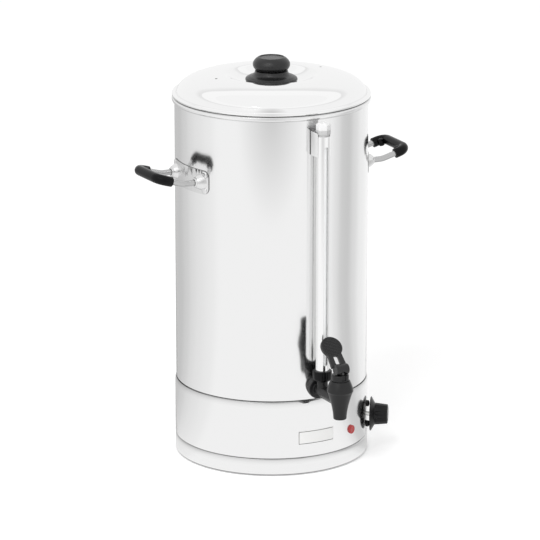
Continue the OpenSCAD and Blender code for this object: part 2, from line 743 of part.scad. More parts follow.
module tap_lever() {
    cam_y = valve_y - cam_offset * cos(cam_rest);
    cam_z = pin_z + cam_offset * sin(cam_rest);
    slot_l = 12.5;
    stem_w = 19.2;
    web_y = 4.7;
    color(black) difference() {
        union() {
            for (s = [-1, 1]) translate([s * 6.9, cam_y, cam_z])
                rotate([0, 90, 0]) cylinder(r = cam_r, h = 4.4, center = true, $fn = 64);
            translate([0, valve_y, pin_z]) rotate([lever_lean, 0, 0]) {
                translate([0, lever_len, 0]) cylinder(r = thumb_r, h = lever_t, center = true);
                translate([-stem_w / 2, web_y, -lever_t / 2]) cube([stem_w, lever_len - web_y - 4, lever_t]);
                for (s = [-1, 1]) translate([s * 6.9 - 2, 2, -lever_t / 2 + 0.1])
                    cube([4, 8, lever_t - 0.2]);
            }
        }
        translate([-20, valve_y, pin_z]) rotate([0, 90, 0]) cylinder(r = pin_r + run_gap, h = 40, $fn = 32);
        translate([0, valve_y, pin_z]) rotate([lever_lean, 0, 0])
            translate([-3.5, lever_len - thumb_r - slot_l + 1, -lever_t]) cube([7, slot_l, 2 * lever_t]);
    }
}

module lever_pin() {
    color(steel) translate([-8.8, valve_y, pin_z]) rotate([0, 90, 0]) cylinder(r = pin_r, h = 17.6, $fn = 32);
}

module valve_stem() {
    head_r = 3.4;
    color(black) translate([0, valve_y, 0]) difference() {
        union() {
            translate([0, 0, seat_z + 3]) cylinder(r = stem_r, h = pin_z - seat_z - 3);
            translate([0, 0, seat_z + 9.5]) cylinder(r = 6, h = 1.5);
            translate([0, 0, pin_z - 3]) cylinder(r = head_r, h = 5.6);
        }
        translate([-20, 0, pin_z]) rotate([0, 90, 0]) cylinder(r = pin_r, h = 40, $fn = 32);
    }
}

module seat_cup() {
    cup = [[0, seat_z + 0.1], [7, seat_z + 0.1], [7.6, seat_z + 2], [6.8, seat_z + 6], [5, seat_z + 9.5],
        [0, seat_z + 9.5]];
    color([0.9, 0.88, 0.8]) translate([0, valve_y, 0]) difference() {
        rotate_extrude() polygon(cup);
        translate([0, 0, seat_z + 3]) cylinder(r = stem_r, h = 20);
    }
}

// The spring is swept along its helix, a ring of points every twentieth of a turn
module valve_spring() {
    bottom = seat_z + 11.6;
    top = valve_top_z - 5.6;
    coil_r = 5.4;
    wire_r = 0.6;
    steps = 20 * spring_turns;
    sides = 8;
    function centre(i) = [coil_r * cos(18 * i), coil_r * sin(18 * i), bottom + (top - bottom) * i / steps];
    points = [for (i = [0:steps], k = [0:sides - 1]) let (w = k * 360 / sides)
        centre(i) + wire_r * [cos(w) * cos(18 * i), cos(w) * sin(18 * i), sin(w)]];
    ends = [[for (k = [0:sides - 1]) k], [for (k = [sides - 1:-1:0]) steps * sides + k]];
    walls = [for (i = [0:steps - 1], k = [0:sides - 1])
        let (a = i * sides + k, b = i * sides + (k + 1) % sides) [b, a, a + sides, b + sides]];
    color(steel) translate([0, valve_y, 0]) polyhedron(points = points, faces = concat(ends, walls));
}

// ---- Base ----

// The line of a rounded shoulder that turns in by the groove's depth below z
function shoulder_line(r, z) = bez([r, z - shoulder_h], [r, z - shoulder_h * 0.35],
    [r - groove * 0.25, z - 0.6], [r - groove, z - 0.3], 5);

module base_skirt() {
    line = concat(
        [[skirt_neck_r - seam_fit - sheet, ring_top_z - 8], [skirt_neck_r - seam_fit - sheet, ring_top_z],
         [skirt_r, ring_top_z + 1.4]],
        shoulder_line(skirt_r, skirt_top_z));
    color(steel) difference() {
        union() {
            rotate_extrude() polygon(sheet_outline([for (p = line) p], sheet));
        }
        outwards(thermostat_az, thermostat_z, skirt_r - 8) {
            cylinder(r = 5.2, h = 16, $fn = 32);
            for (s = [-1, 1]) translate([0, s * fixing_dy, 0]) cylinder(r = 2.1, h = 16, $fn = 24);
        }
        outwards(lamp_az, lamp_z, skirt_r - 8) cylinder(r = 5, h = 16, $fn = 32);
        outwards(180, entry_z, skirt_r - 8) cylinder(r = 8, h = 16);
    }
}

module bottom_ring() {
    line = concat([[skirt_r - ring_flange_w, ring_gap], [skirt_r - 1, ring_gap], [skirt_r, ring_gap + 1]],
        shoulder_line(skirt_r, ring_top_z));
    color(steel) rotate_extrude() polygon(sheet_outline(line, sheet));
}

module base_plate() {
    line = [[base_plate_r, ring_gap + sheet], [base_plate_r, plate_z + sheet - 1],
        [base_plate_r - 1, plate_z + sheet], [0, plate_z + sheet]];
    color(steel) difference() {
        rotate_extrude() polygon(sheet_outline(line, sheet));
        translate([0, 0, plate_z - 1]) cylinder(r = 3.2, h = sheet + 2, $fn = 32);
        feet_at() translate([0, 0, plate_z - 1]) cylinder(r = 2.1, h = sheet + 2, $fn = 24);
        translate([earth_at[0], earth_at[1], plate_z - 1]) cylinder(r = 2.1, h = sheet + 2, $fn = 24);
    }
}

// Repeats its child at each foot
module feet_at() {
    for (i = [0:feet_n - 1]) rotate([0, 0, 45 + i * 360 / feet_n]) translate([foot_ring_r, 0, 0]) children();
}

module rubber_feet() {
    color(rubber) feet_at() difference() {
        cylinder(r1 = foot_r - 1.5, r2 = foot_r, h = plate_z);
        translate([0, 0, -1]) cylinder(r = 4.6, h = 4.5);
        cylinder(r = 2, h = plate_z + 1, $fn = 24);
    }
}

module foot_screws() {
    color(steel) feet_at() {
        union() {
            translate([0, 0, 1.3]) cylinder(r = 4, h = 2.2);
            translate([0, 0, 3]) cylinder(r = 2, h = plate_z + sheet + 2, $fn = 24);
        }
        translate([0, 0, plate_z + sheet]) difference() {
            cylinder(r = 4, h = 3, $fn = 6);
            translate([0, 0, -1]) cylinder(r = 2, h = 5, $fn = 24);
        }
    }
}

// ---- Heater and electrical parts ----

module heating_element() {
    open_deg = 2 * asin(element_leg_x / element_ring_r);
    color([0.5, 0.5, 0.52]) union() {
        translate([0, 0, element_z]) rotate([0, 0, 90 + open_deg / 2]) rotate_extrude(angle = 360 - open_deg)
            translate([element_ring_r, 0]) circle(r = element_r, $fn = 32);
        for (s = [-1, 1]) translate([s * element_leg_x, element_leg_y, 0]) {
            translate([0, 0, floor_z - leg_below])
                cylinder(r = element_r + 0.6, h = element_z + element_r + 0.6 - floor_z + leg_below);
            translate([0, 0, floor_z - bush_below])
                cylinder(r = bush_r, h = sheet + bush_below + 6, $fn = 32);
            translate([0, 0, floor_top + 1.5]) cylinder(r = 8, h = 3);
            translate([0, 0, element_pin_z]) cylinder(r = 1.6, h = 12, $fn = 24);
        }
    }
}

module element_seals() {
    color(rubber) for (s = [-1, 1]) translate([s * element_leg_x, element_leg_y, floor_top])
        ring(7.8, bush_r + 0.05, 1.5);
}

module element_nuts() {
    color([0.75, 0.65, 0.35]) for (s = [-1, 1])
        translate([s * element_leg_x, element_leg_y, floor_z - 5]) difference() {
            cylinder(r = 8, h = 5, $fn = 6);
            translate([0, 0, -1]) cylinder(r = bush_r + 0.05, h = 7, $fn = 32);
        }
}

module sensor_bracket() {
    start = -probe_l - 6;
    strip_w = 12;
    color(steel) union() {
        translate([start, sensor_y - strip_w / 2, bracket_z - 1.5])
            cube([cutout_x + post_dx + 6 - start, strip_w, 1.5]);
        for (s = [-1, 1]) translate([cutout_x + s * post_dx, sensor_y, bracket_z - eps])
            cylinder(r = 3, h = floor_z - bracket_z + eps);
    }
}

module dry_boil_cutout() {
    color(black) translate([cutout_x, sensor_y, bracket_z]) union() {
        cylinder(r = 8.5, h = floor_z - bracket_z);
        for (s = [-1, 1]) translate([-3, s * 10 - 3, 1]) cube([6, 6, 2]);
    }
}

module thermostat_probe() {
    color([0.75, 0.5, 0.3]) translate([-probe_l, sensor_y, floor_z - probe_r]) rotate([0, 90, 0])
        cylinder(r = probe_r, h = probe_l - 4);
}

module thermostat_capillary() {
    start = [-probe_l, sensor_y, floor_z - probe_r];
    turn = [start[0] - capillary_bow, -sensor_y, floor_z - capillary_bow + 4];
    end = [capillary_in * sin(thermostat_az), -capillary_in * cos(thermostat_az), thermostat_z + body_half];
    tangent = [5, -sensor_y, -6];
    line = concat(
        bez(start, start - [capillary_bow, 0, 0], turn - tangent, turn, 10),
        [for (i = [1:14]) bez(turn, turn + 1.4 * tangent, end + [-70, -22, 16], end + [0, 0, 12], 14)[i]],
        [end]);
    color([0.75, 0.5, 0.3]) wire(line, 0.9, [0.3, 0.1, 1]);
}

module thermostat_body() {
    color([0.85, 0.83, 0.78]) difference() {
        union() {
            outwards(thermostat_az, thermostat_z, body_face - body_depth)
                translate([-body_half, -body_half, 0]) cube([2 * body_half, 2 * body_half, body_depth]);
            intersection() {
                outwards(thermostat_az, thermostat_z, body_face - 1) union() {
                    cylinder(r = 6, h = 12);
                    for (s = [-1, 1]) translate([0, s * fixing_dy, 0]) cylinder(r = 4, h = 12);
                }
                cylinder(r = skirt_in_r, h = 2 * thermostat_z, $fn = fine);
            }
        }
        outwards(thermostat_az, thermostat_z, body_face - 8) {
            cylinder(r = spindle_r + run_gap, h = 30);
            for (s = [-1, 1]) translate([0, s * fixing_dy, 0]) cylinder(r = 2, h = 30, $fn = 24);
        }
    }
}

module thermostat_spindle() {
    start = body_face - 7;
    color(steel) outwards(thermostat_az, thermostat_z, start)
        cylinder(r = spindle_r, h = grip_foot + knob_grip_h - 6 - start);
}

module thermostat_screws() {
    color(black) for (s = [-1, 1]) outwards(thermostat_az, thermostat_z, 0)
        translate([0, s * fixing_dy, 0]) union() {
            translate([0, 0, body_face - 7]) cylinder(r = 2, h = skirt_r - body_face + 7.5, $fn = 24);
            translate([0, 0, skirt_r]) cylinder(r = 4.4, h = screw_head_t);
        }
}

module thermostat_knob() {
    flute_r = 3;
    foot = knob_rim_t + knob_cone_h;
    color(black) outwards(thermostat_az, thermostat_z, knob_back) difference() {
        union() {
            cylinder(r = dial_r, h = knob_rim_t);
            translate([0, 0, knob_rim_t - eps])
                cylinder(r1 = dial_r - 0.5, r2 = knob_grip_r + 0.4, h = knob_cone_h);
            translate([0, 0, foot - 2 * eps])
                cylinder(r1 = knob_grip_r, r2 = knob_grip_r - 1.8, h = knob_grip_h + 2 * eps);
        }
        for (i = [0:flutes_n - 1]) rotate([0, 0, i * 360 / flutes_n])
            translate([knob_grip_r + 0.5, 0, foot + 1.5])
                cylinder(r = flute_r, h = knob_grip_h, $fn = 24);
        translate([0, 0, -1]) cylinder(r = spindle_r, h = foot + knob_grip_h - 5);
    }
}

module indicator_lens() {
    color(red) difference() {
        outwards(lamp_az, lamp_z, skirt_r - 8) union() {
            cylinder(r = 4.9, h = 9, $fn = 32);
            translate([0, 0, 7]) cylinder(r = lens_r, h = 2.6);
            translate([0, 0, 9.6]) cylinder(r1 = lens_r, r2 = lens_r - 1.2, h = 1);
        }
        difference() {
            cylinder(r = skirt_r, h = 2 * lamp_z, $fn = fine);
            outwards(lamp_az, lamp_z, 0) cylinder(r = 4.95, h = 2 * skirt_r, $fn = 32);
        }
    }
}

module indicator_body() {
    color(black) intersection() {
        outwards(lamp_az, lamp_z, skirt_r - 26) union() {
            cylinder(r = 4.9, h = 18, $fn = 32);
            difference() {
                translate([0, 0, 18]) cylinder(r = 8, h = 12);
                cylinder(r = 4.95, h = 40, $fn = 32);
            }
            translate([0, 0, 15]) cylinder(r = 8, h = 3);
        }
        cylinder(r = skirt_in_r, h = 2 * lamp_z, $fn = fine);
    }
}

module label_plate() {
    color([0.9, 0.9, 0.9]) rotate([0, 0, -90 - label_half_deg])
        rotate_extrude(angle = 2 * label_half_deg, $fn = fine)
            translate([skirt_r, label_z - label_h / 2]) square([0.4, label_h]);
}

module terminal_block() {
    color([0.92, 0.92, 0.9]) translate([-24, terminal_y - 9, plate_z + sheet]) difference() {
        cube([48, 18, block_h]);
        for (i = [0:2], s = [0, 1]) translate([8 + 16 * i, 5 + 8 * s, 5]) cylinder(r = 2, h = 10, $fn = 24);
    }
}

module terminal_screws() {
    color(steel) for (i = [0:2], s = [0, 1])
        translate([-16 + 16 * i, terminal_y - 4 + 8 * s, plate_z + sheet + 5])
            cylinder(r = 1.9, h = 6, $fn = 24);
}

module earth_stud() {
    color([0.75, 0.65, 0.35]) translate([earth_at[0], earth_at[1], plate_z]) union() {
        translate([0, 0, -2.2]) cylinder(r = 4, h = 2.2);
        translate([0, 0, -1]) cylinder(r = 2.1, h = 14, $fn = 24);
        translate([0, 0, sheet]) cylinder(r = 4, h = 3, $fn = 6);
    }
}

module cord_entry_bush() {
    color(black) difference() {
        union() {
            outwards(180, entry_z, skirt_in_r - 8) cylinder(r = 7.9, h = sheet + 12);
            difference() {
                outwards(180, entry_z, skirt_r - 4) union() {
                    cylinder(r = 11, h = 7);
                    cylinder(r1 = 9, r2 = 6.5, h = 14);
                }
                cylinder(r = skirt_r, h = 2 * entry_z, $fn = fine);
            }
            intersection() {
                outwards(180, entry_z, skirt_in_r - 4) cylinder(r = 9.5, h = 8);
                cylinder(r = skirt_in_r, h = 2 * entry_z, $fn = fine);
            }
        }
        outwards(180, entry_z, skirt_r - 20) cylinder(r = entry_bore_r, h = 60, $fn = 32);
    }
}

module inner_leads() {
    lead_r = 1.2;
    screw_top = plate_z + sheet + block_h - 2.8;
    start_y = terminal_y - 4;
    color([0.3, 0.3, 0.6]) {
        wire(bez([-16, start_y, screw_top], [-16, start_y, screw_top + 23],
            [-element_leg_x, element_leg_y, element_pin_z - 20],
            [-element_leg_x, element_leg_y, element_pin_z], 12),
            lead_r, [1, 0.2, 0]);
        wire(bez([0, start_y, screw_top], [0, start_y, screw_top + 33],
            [cutout_x, sensor_y + 30, bracket_z + 2], [cutout_x, sensor_y + 13, bracket_z + 2], 14),
            lead_r, [1, 0.2, 0]);
        wire(bez([16, start_y, screw_top], [16, start_y, screw_top + 25],
            [earth_at[0], earth_at[1], plate_z + 36], [earth_at[0], earth_at[1], plate_z + 13], 14),
            lead_r, [0, 1, 0.1]);
    }
}

lid_shell();
lid_knob();
lid_knob_flange();
lid_knob_screw();
tank();
tie_bolt();
handle_plate(-1);  // left_handle_plate
handle_bosses(-1);  // left_handle_bosses
handle_rod(-1);  // left_handle_rod
grip_half(-1, 1);  // left_grip_top
grip_half(-1, -1);  // left_grip_bottom
handle_plate(1);  // right_handle_plate
handle_bosses(1);  // right_handle_bosses
handle_rod(1);  // right_handle_rod
grip_half(1, 1);  // right_grip_top
grip_half(1, -1);  // right_grip_bottom
grip_screws();
wall_rivets();
gauge_guard();
gauge_glass();
gauge_vent_cap();
gauge_cup_nut();
gauge_seal();
gauge_bracket();
tap_body();
tap_outer_seal();
tap_inner_seal();
tap_lock_nut();
tap_bonnet();
tap_lever();
lever_pin();
valve_stem();
seat_cup();
valve_spring();
base_skirt();
bottom_ring();
base_plate();
rubber_feet();
foot_screws();
heating_element();
element_nuts();
element_seals();
dry_boil_cutout();
thermostat_body();
thermostat_probe();
thermostat_capillary();
sensor_bracket();
thermostat_spindle();
thermostat_knob();
thermostat_screws();
indicator_lens();
indicator_body();
label_plate();
terminal_block();
terminal_screws();
earth_stud();
cord_entry_bush();
inner_leads();
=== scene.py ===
import math

import bpy
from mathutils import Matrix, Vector
from mathutils.geometry import interpolate_bezier


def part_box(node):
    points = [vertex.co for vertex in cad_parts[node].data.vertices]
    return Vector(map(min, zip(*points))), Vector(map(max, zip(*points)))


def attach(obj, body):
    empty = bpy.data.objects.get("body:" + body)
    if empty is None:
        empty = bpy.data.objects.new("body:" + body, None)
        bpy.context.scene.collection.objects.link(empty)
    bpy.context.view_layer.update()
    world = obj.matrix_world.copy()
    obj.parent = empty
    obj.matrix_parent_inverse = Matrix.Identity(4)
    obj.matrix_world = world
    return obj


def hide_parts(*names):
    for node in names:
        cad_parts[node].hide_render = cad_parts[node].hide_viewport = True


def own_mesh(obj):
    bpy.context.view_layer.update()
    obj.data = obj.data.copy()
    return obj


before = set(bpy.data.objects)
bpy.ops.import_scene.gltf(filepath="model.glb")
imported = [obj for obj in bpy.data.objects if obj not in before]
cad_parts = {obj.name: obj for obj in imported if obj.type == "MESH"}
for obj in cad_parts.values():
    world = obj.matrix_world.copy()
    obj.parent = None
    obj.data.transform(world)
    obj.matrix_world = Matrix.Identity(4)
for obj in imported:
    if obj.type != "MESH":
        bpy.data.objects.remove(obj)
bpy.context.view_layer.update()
mm = 0.001


# ---- Camera ----
# A long lens on a tall stand, to the left of the tap. It stands well off, so that the urn's sides look
# almost straight, and looks down on the lid.
camera_at = (-2.1481, -4.1399, 1.573)
camera_round = math.radians(27.4)
camera_down = math.radians(15.834)
camera_lens = 238.27
bpy.ops.object.camera_add(location=camera_at, rotation=(math.pi / 2 - camera_down, 0, -camera_round))
camera = bpy.context.object
camera.data.sensor_width = 36
camera.data.lens = camera_lens
bpy.context.scene.camera = camera
bpy.context.scene.view_settings.view_transform = "Standard"


# ---- Studio ----
# A white floor that runs on into a white room, one large soft lamp, and a light tent round the urn that
# only polished metal sees: white in front, greyer behind the left side, with a grey strip at the right,
# and a hood above it for the lid.
room_light = 0.72
room_mirrored = 0.97
floor_white = 0.85
floor_glow = 0.37
floor_mirrored = 0.1
lamp_at = (-1.7, -1.3, 2.3)
lamp_size = 1.6
lamp_power = 42


def grey(tone):
    return (tone, tone, tone, 1)


def wire(tree, *wires):
    """Joins nodes. A wire is a node and its output, then the next node and its input."""
    for start, output, end, socket in wires:
        tree.links.new(start.outputs[output], end.inputs[socket])


def new_finish(name, colour, metallic=0.0, roughness=0.5):
    material = bpy.data.materials.new(name)
    material.use_nodes = True
    shader = material.node_tree.nodes["Principled BSDF"]
    shader.inputs["Base Color"].default_value = (*colour, 1)
    shader.inputs["Metallic"].default_value = metallic
    shader.inputs["Roughness"].default_value = roughness
    return material, shader


def by_ray(tree, seen, mirrored, lighting):
    """A strength for what the camera sees, for what mirrors and glass show, and for the light on things."""
    path = tree.nodes.new("ShaderNodeLightPath")
    shown = tree.nodes.new("ShaderNodeMath")
    shown.operation = "MAXIMUM"
    other = tree.nodes.new("ShaderNodeMapRange")
    other.inputs["To Min"].default_value = lighting
    other.inputs["To Max"].default_value = mirrored
    strength = tree.nodes.new("ShaderNodeMapRange")
    strength.inputs["To Max"].default_value = seen
    wire(tree, (path, "Is Glossy Ray", shown, 0), (path, "Is Transmission Ray", shown, 1),
         (shown, 0, other, "Value"), (other, "Result", strength, "To Min"),
         (path, "Is Camera Ray", strength, "Value"))
    return strength.outputs["Result"]


room = bpy.data.worlds.new("room")
bpy.context.scene.world = room
room.use_nodes = True
tree = room.node_tree
tree.links.new(by_ray(tree, 1.0, room_mirrored, room_light), tree.nodes["Background"].inputs["Strength"])
tree.nodes["Background"].inputs["Color"].default_value = grey(1)


def active(piece):
    bpy.ops.object.select_all(action="DESELECT")
    piece.select_set(True)
    bpy.context.view_layer.objects.active = piece


def settle(piece):
    """Applies where a piece stands and how it is turned."""
    active(piece)
    bpy.ops.object.transform_apply(location=True, rotation=True, scale=True)


def new_piece(name):
    """Names the piece that was just added, and settles it."""
    piece = bpy.context.object
    piece.name = name
    settle(piece)
    return piece


bpy.ops.object.select_all(action="DESELECT")
bpy.ops.mesh.primitive_plane_add(size=60)
floor = new_piece("floor")
floor_paint, shader = new_finish("floor_paint", (floor_white,) * 3, roughness=1.0)
shader.inputs["Specular IOR Level"].default_value = 0
shader.inputs["Emission Color"].default_value = grey(1)
tree = floor_paint.node_tree
tree.links.new(by_ray(tree, floor_glow, floor_mirrored, 0.0), shader.inputs["Emission Strength"])
floor.data.materials.append(floor_paint)

bpy.ops.object.light_add(type="AREA", location=lamp_at)
lamp = bpy.context.object
lamp.name = "soft_lamp"
lamp.data.shape = "DISK"
lamp.data.size = lamp_size
lamp.data.energy = lamp_power
lamp.rotation_euler = lamp.location.to_track_quat("Z", "Y").to_euler()

tent_r = 0.62
wall_foot = 0.4 * mm
wall_top = 0.43
hood_top = 1.3
opening_z = 0.42
back_tone = 0.56
hood_low_tone = 0.965
wall_tones = ((-132, 0.6), (-115, 0.7), (-102, 0.8), (-91, 0.86), (-72, 0.93), (-59, 1.0), (59, 1.0),
              (68, 0.965), (77, 0.84), (86, 0.68), (96, 0.65), (108, 0.79), (124, 0.94), (148, 1.0))
hood_tones = ((0.9, 0.95), (0.985, 0.84), (1.02, 0.84), (1.03, 1.0))


def pick(piece, test, kind="FACE"):
    """Opens a piece for editing, with only the faces, edges or vertices selected that pass a test."""
    active(piece)
    bpy.ops.object.mode_set(mode="EDIT")
    bpy.ops.mesh.select_mode(type=kind)
    bpy.ops.mesh.select_all(action="DESELECT")
    bpy.ops.object.mode_set(mode="OBJECT")
    data = piece.data
    for item in {"FACE": data.polygons, "EDGE": data.edges, "VERT": data.vertices}[kind]:
        item.select = test(item)
    bpy.ops.object.mode_set(mode="EDIT")


def put_down():
    """Closes the piece that pick opened."""
    bpy.ops.mesh.select_mode(type="VERT")
    bpy.ops.object.mode_set(mode="OBJECT")


def tent_hoop(name, low, high, with_floor, opening_size, opening_tone):
    """A hoop of tent cloth, open at the top, that only mirrors see. It glows less at the camera's opening."""
    bpy.ops.object.select_all(action="DESELECT")
    bpy.ops.mesh.primitive_cylinder_add(vertices=96, radius=tent_r, depth=high - low,
                                        location=(0, 0, (low + high) / 2))
    hoop = new_piece(name)
    pick(hoop, lambda face: face.normal.z > 0.5 or (face.normal.z < -0.5 and not with_floor))
    bpy.ops.mesh.delete(type="FACE")
    put_down()
    cloth = bpy.data.materials.new(name + "_cloth")
    cloth.use_nodes = True
    tree = cloth.node_tree
    tree.nodes.remove(tree.nodes["Principled BSDF"])
    glow = tree.nodes.new("ShaderNodeEmission")
    where = tree.nodes.new("ShaderNodeTexCoord")
    tones = tree.nodes.new("ShaderNodeValToRGB")
    opening = tree.nodes.new("ShaderNodeMapping")
    opening.vector_type = "TEXTURE"
    opening.inputs["Location"].default_value = (
        -tent_r * math.sin(camera_round), -tent_r * math.cos(camera_round), opening_z)
    opening.inputs["Scale"].default_value = opening_size
    patch = tree.nodes.new("ShaderNodeTexGradient")
    patch.gradient_type = "SPHERICAL"
    dimming = tree.nodes.new("ShaderNodeMapRange")
    dimming.inputs["To Min"].default_value = 1.0
    dimming.inputs["To Max"].default_value = opening_tone
    wire(tree, (where, "Object", opening, "Vector"), (opening, "Vector", patch, "Vector"),
         (patch, "Fac", dimming, "Value"), (dimming, "Result", glow, "Strength"),
         (tones, "Color", glow, "Color"), (glow, "Emission", tree.nodes["Material Output"], "Surface"))
    hoop.data.materials.append(cloth)
    hoop.visible_camera = False
    hoop.visible_diffuse = False
    hoop.visible_shadow = False
    hoop.visible_transmission = False
    return tree, where, tones


tree, where, tones = tent_hoop("tent_wall", wall_foot, wall_top, with_floor=True,
                               opening_size=(0.4, 0.4, 0.29), opening_tone=0.64)
turn = tree.nodes.new("ShaderNodeMapping")
turn.inputs["Rotation"].default_value = (0, 0, math.pi / 2 + camera_round)
radial = tree.nodes.new("ShaderNodeTexGradient")
radial.gradient_type = "RADIAL"
tones.color_ramp.interpolation = "EASE"
for round_it, tone in wall_tones:
    tones.color_ramp.elements.new(0.5 + round_it / 360).color = grey(tone)
tones.color_ramp.elements[0].color = grey(back_tone)
tones.color_ramp.elements[-1].color = grey(1)
wire(tree, (where, "Object", turn, "Vector"), (turn, "Vector", radial, "Vector"),
     (radial, "Fac", tones, "Fac"))

tree, where, tones = tent_hoop("tent_hood", wall_top, hood_top, with_floor=False,
                               opening_size=(0.2, 0.2, 0.8), opening_tone=0.6)
height = tree.nodes.new("ShaderNodeSeparateXYZ")
rise = tree.nodes.new("ShaderNodeMapRange")
rise.inputs["From Max"].default_value = hood_top
for z, tone in hood_tones:
    tones.color_ramp.elements.new(z / hood_top).color = grey(tone)
tones.color_ramp.elements[0].color = grey(hood_low_tone)
tones.color_ramp.elements[-1].color = grey(1)
wire(tree, (where, "Object", height, "Vector"), (height, "Z", rise, "Value"), (rise, "Result", tones, "Fac"))


# ---- Tank ----
# The tank is one drawn stainless sheet, polished outside and left satin inside: a flat floor with a small
# corner, a neck that the skirt closes on, and a rim rolled outwards into a band.
rim_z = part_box("tank")[1].z / mm
floor_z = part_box("tank")[0].z / mm
tank_r = 130
sheet = 1
seam_z = 103.5
rim_roll_r = 2.2
rim_band_h = 6.2
weld = 0.002


def arc(centre, radius, start, end, steps=8):
    """Points of an arc in the section, in mm and degrees."""
    angles = [math.radians(start + (end - start) * i / steps) for i in range(steps + 1)]
    return [(centre[0] + radius * math.cos(a), centre[1] + radius * math.sin(a)) for a in angles]


def sweep_of(a, b, c, d, steps=12):
    """Points of a free curve in the section, from a to d."""
    return [(p.x, p.y) for p in interpolate_bezier(Vector(a), Vector(b), Vector(c), Vector(d), steps + 1)]


def extrude(x, y, z):
    """Extrudes what is selected by a step in mm."""
    bpy.ops.mesh.extrude_region_move(TRANSFORM_OT_translate={"value": (x * mm, y * mm, z * mm)})


def draw(points):
    """Starts a new piece with a line through points in mm, and leaves it open for editing."""
    bpy.ops.object.select_all(action="DESELECT")
    bpy.ops.mesh.primitive_plane_add(enter_editmode=True)
    bpy.ops.mesh.merge(type="CENTER")
    bpy.ops.transform.translate(value=[v * mm for v in points[0]])
    for (x0, y0, z0), (x1, y1, z1) in zip(points, points[1:]):
        extrude(x1 - x0, y1 - y0, z1 - z0)
    bpy.ops.mesh.select_all(action="SELECT")


def close_up():
    """Merges the doubles of the piece that is open for editing, turns its faces outwards and closes it."""
    bpy.ops.mesh.select_all(action="SELECT")
    bpy.ops.mesh.remove_doubles(threshold=weld * mm)
    bpy.ops.mesh.normals_make_consistent(inside=False)
    bpy.ops.object.mode_set(mode="OBJECT")


def spun(name, section, steps=128, turn=math.tau):
    """Spins a section of (radius, height) points in mm round the Z axis."""
    draw([(radius, 0, z) for radius, z in section])
    bpy.ops.mesh.spin(steps=steps, angle=turn, center=(0, 0, 0), axis=(0, 0, 1))
    close_up()
    return new_piece(name)


def smooth(piece, angle=30):
    active(piece)
    bpy.ops.object.shade_smooth_by_angle(angle=math.radians(angle))


def fit(piece, body, slot, finish, *nodes):
    """Gives a piece its finish, its body and the CAD nodes that it stands for."""
    piece.data.materials.clear()
    piece.data.materials.append(finish)
    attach(piece, body)
    if nodes:
        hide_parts(*nodes)


def grained(name, colour, metallic, across, rough, depth, stretch=(1, 1, 1), others=()):
    """A finish whose roughness wanders between two values over marks of a size in mm, with a faint relief."""
    material, shader = new_finish(name, colour, metallic)
    for socket, value in others:
        shader.inputs[socket].default_value = value
    tree = material.node_tree
    where = tree.nodes.new("ShaderNodeTexCoord")
    size = tree.nodes.new("ShaderNodeMapping")
    size.inputs["Scale"].default_value = stretch
    marks = tree.nodes.new("ShaderNodeTexNoise")
    marks.inputs["Scale"].default_value = 1 / (across * mm)
    marks.inputs["Detail"].default_value = 4
    spread = tree.nodes.new("ShaderNodeMapRange")
    spread.inputs["From Min"].default_value = 0.3
    spread.inputs["From Max"].default_value = 0.7
    spread.inputs["To Min"].default_value, spread.inputs["To Max"].default_value = rough
    relief = tree.nodes.new("ShaderNodeBump")
    relief.inputs["Strength"].default_value = 1
    relief.inputs["Distance"].default_value = depth * mm
    wire(tree, (where, "Object", size, "Vector"), (size, "Vector", marks, "Vector"),
         (marks, "Fac", spread, "Value"), (spread, "Result", shader, "Roughness"),
         (marks, "Fac", relief, "Height"), (relief, "Normal", shader, "Normal"))
    return material


def toned_by_height(material, tones):
    """Greys a finish at given heights in mm. On the polished steel this grey is painted shade in its seams
    and at its edges.
    """
    tree = material.node_tree
    shader = tree.nodes["Principled BSDF"]
    low, high = tones[0][0], tones[-1][0]
    where = tree.nodes.new("ShaderNodeTexCoord")
    height = tree.nodes.new("ShaderNodeSeparateXYZ")
    along = tree.nodes.new("ShaderNodeMapRange")
    along.inputs["From Min"].default_value = low * mm
    along.inputs["From Max"].default_value = high * mm
    ramp = tree.nodes.new("ShaderNodeValToRGB")
    for z, tone in tones[1:-1]:
        ramp.color_ramp.elements.new((z - low) / (high - low)).color = grey(tone)
    ramp.color_ramp.elements[0].color = grey(tones[0][1])
    ramp.color_ramp.elements[-1].color = grey(tones[-1][1])
    wire(tree, (where, "Object", height, "Vector"), (height, "Z", along, "Value"),
         (along, "Result", ramp, "Fac"), (ramp, "Color", shader, "Base Color"))


steel_tone = 0.87


def polished(name, tones):
    """Rolled sheet, mechanically polished: it mirrors softly, with the faintest waviness left in the wall,
    and is greyed at the heights its tones give, which is painted shade in its seams and at its edges.
    """
    material = grained(name, (steel_tone,) * 3, 1.0, 50, (0.12, 0.16), 0.004, stretch=(1, 1, 0.15))
    toned_by_height(material, tones)
    return material


band_z = rim_z - rim_band_h
# painted shade: the polished steel greys in the seam above the neck, under the rolled rim's band and along
# the rim's top, where the grooves lie in shadow
tank_steel = polished("tank_steel", (
    (floor_z, steel_tone), (seam_z - 1.2, steel_tone), (seam_z - 0.6, 0.7), (seam_z + 0.4, 0.7),
    (seam_z + 1.2, steel_tone), (band_z - 0.9, steel_tone), (band_z - 0.1, 0.55), (band_z + 1.2, steel_tone),
    (rim_z - 0.9, steel_tone), (rim_z, 0.5)))

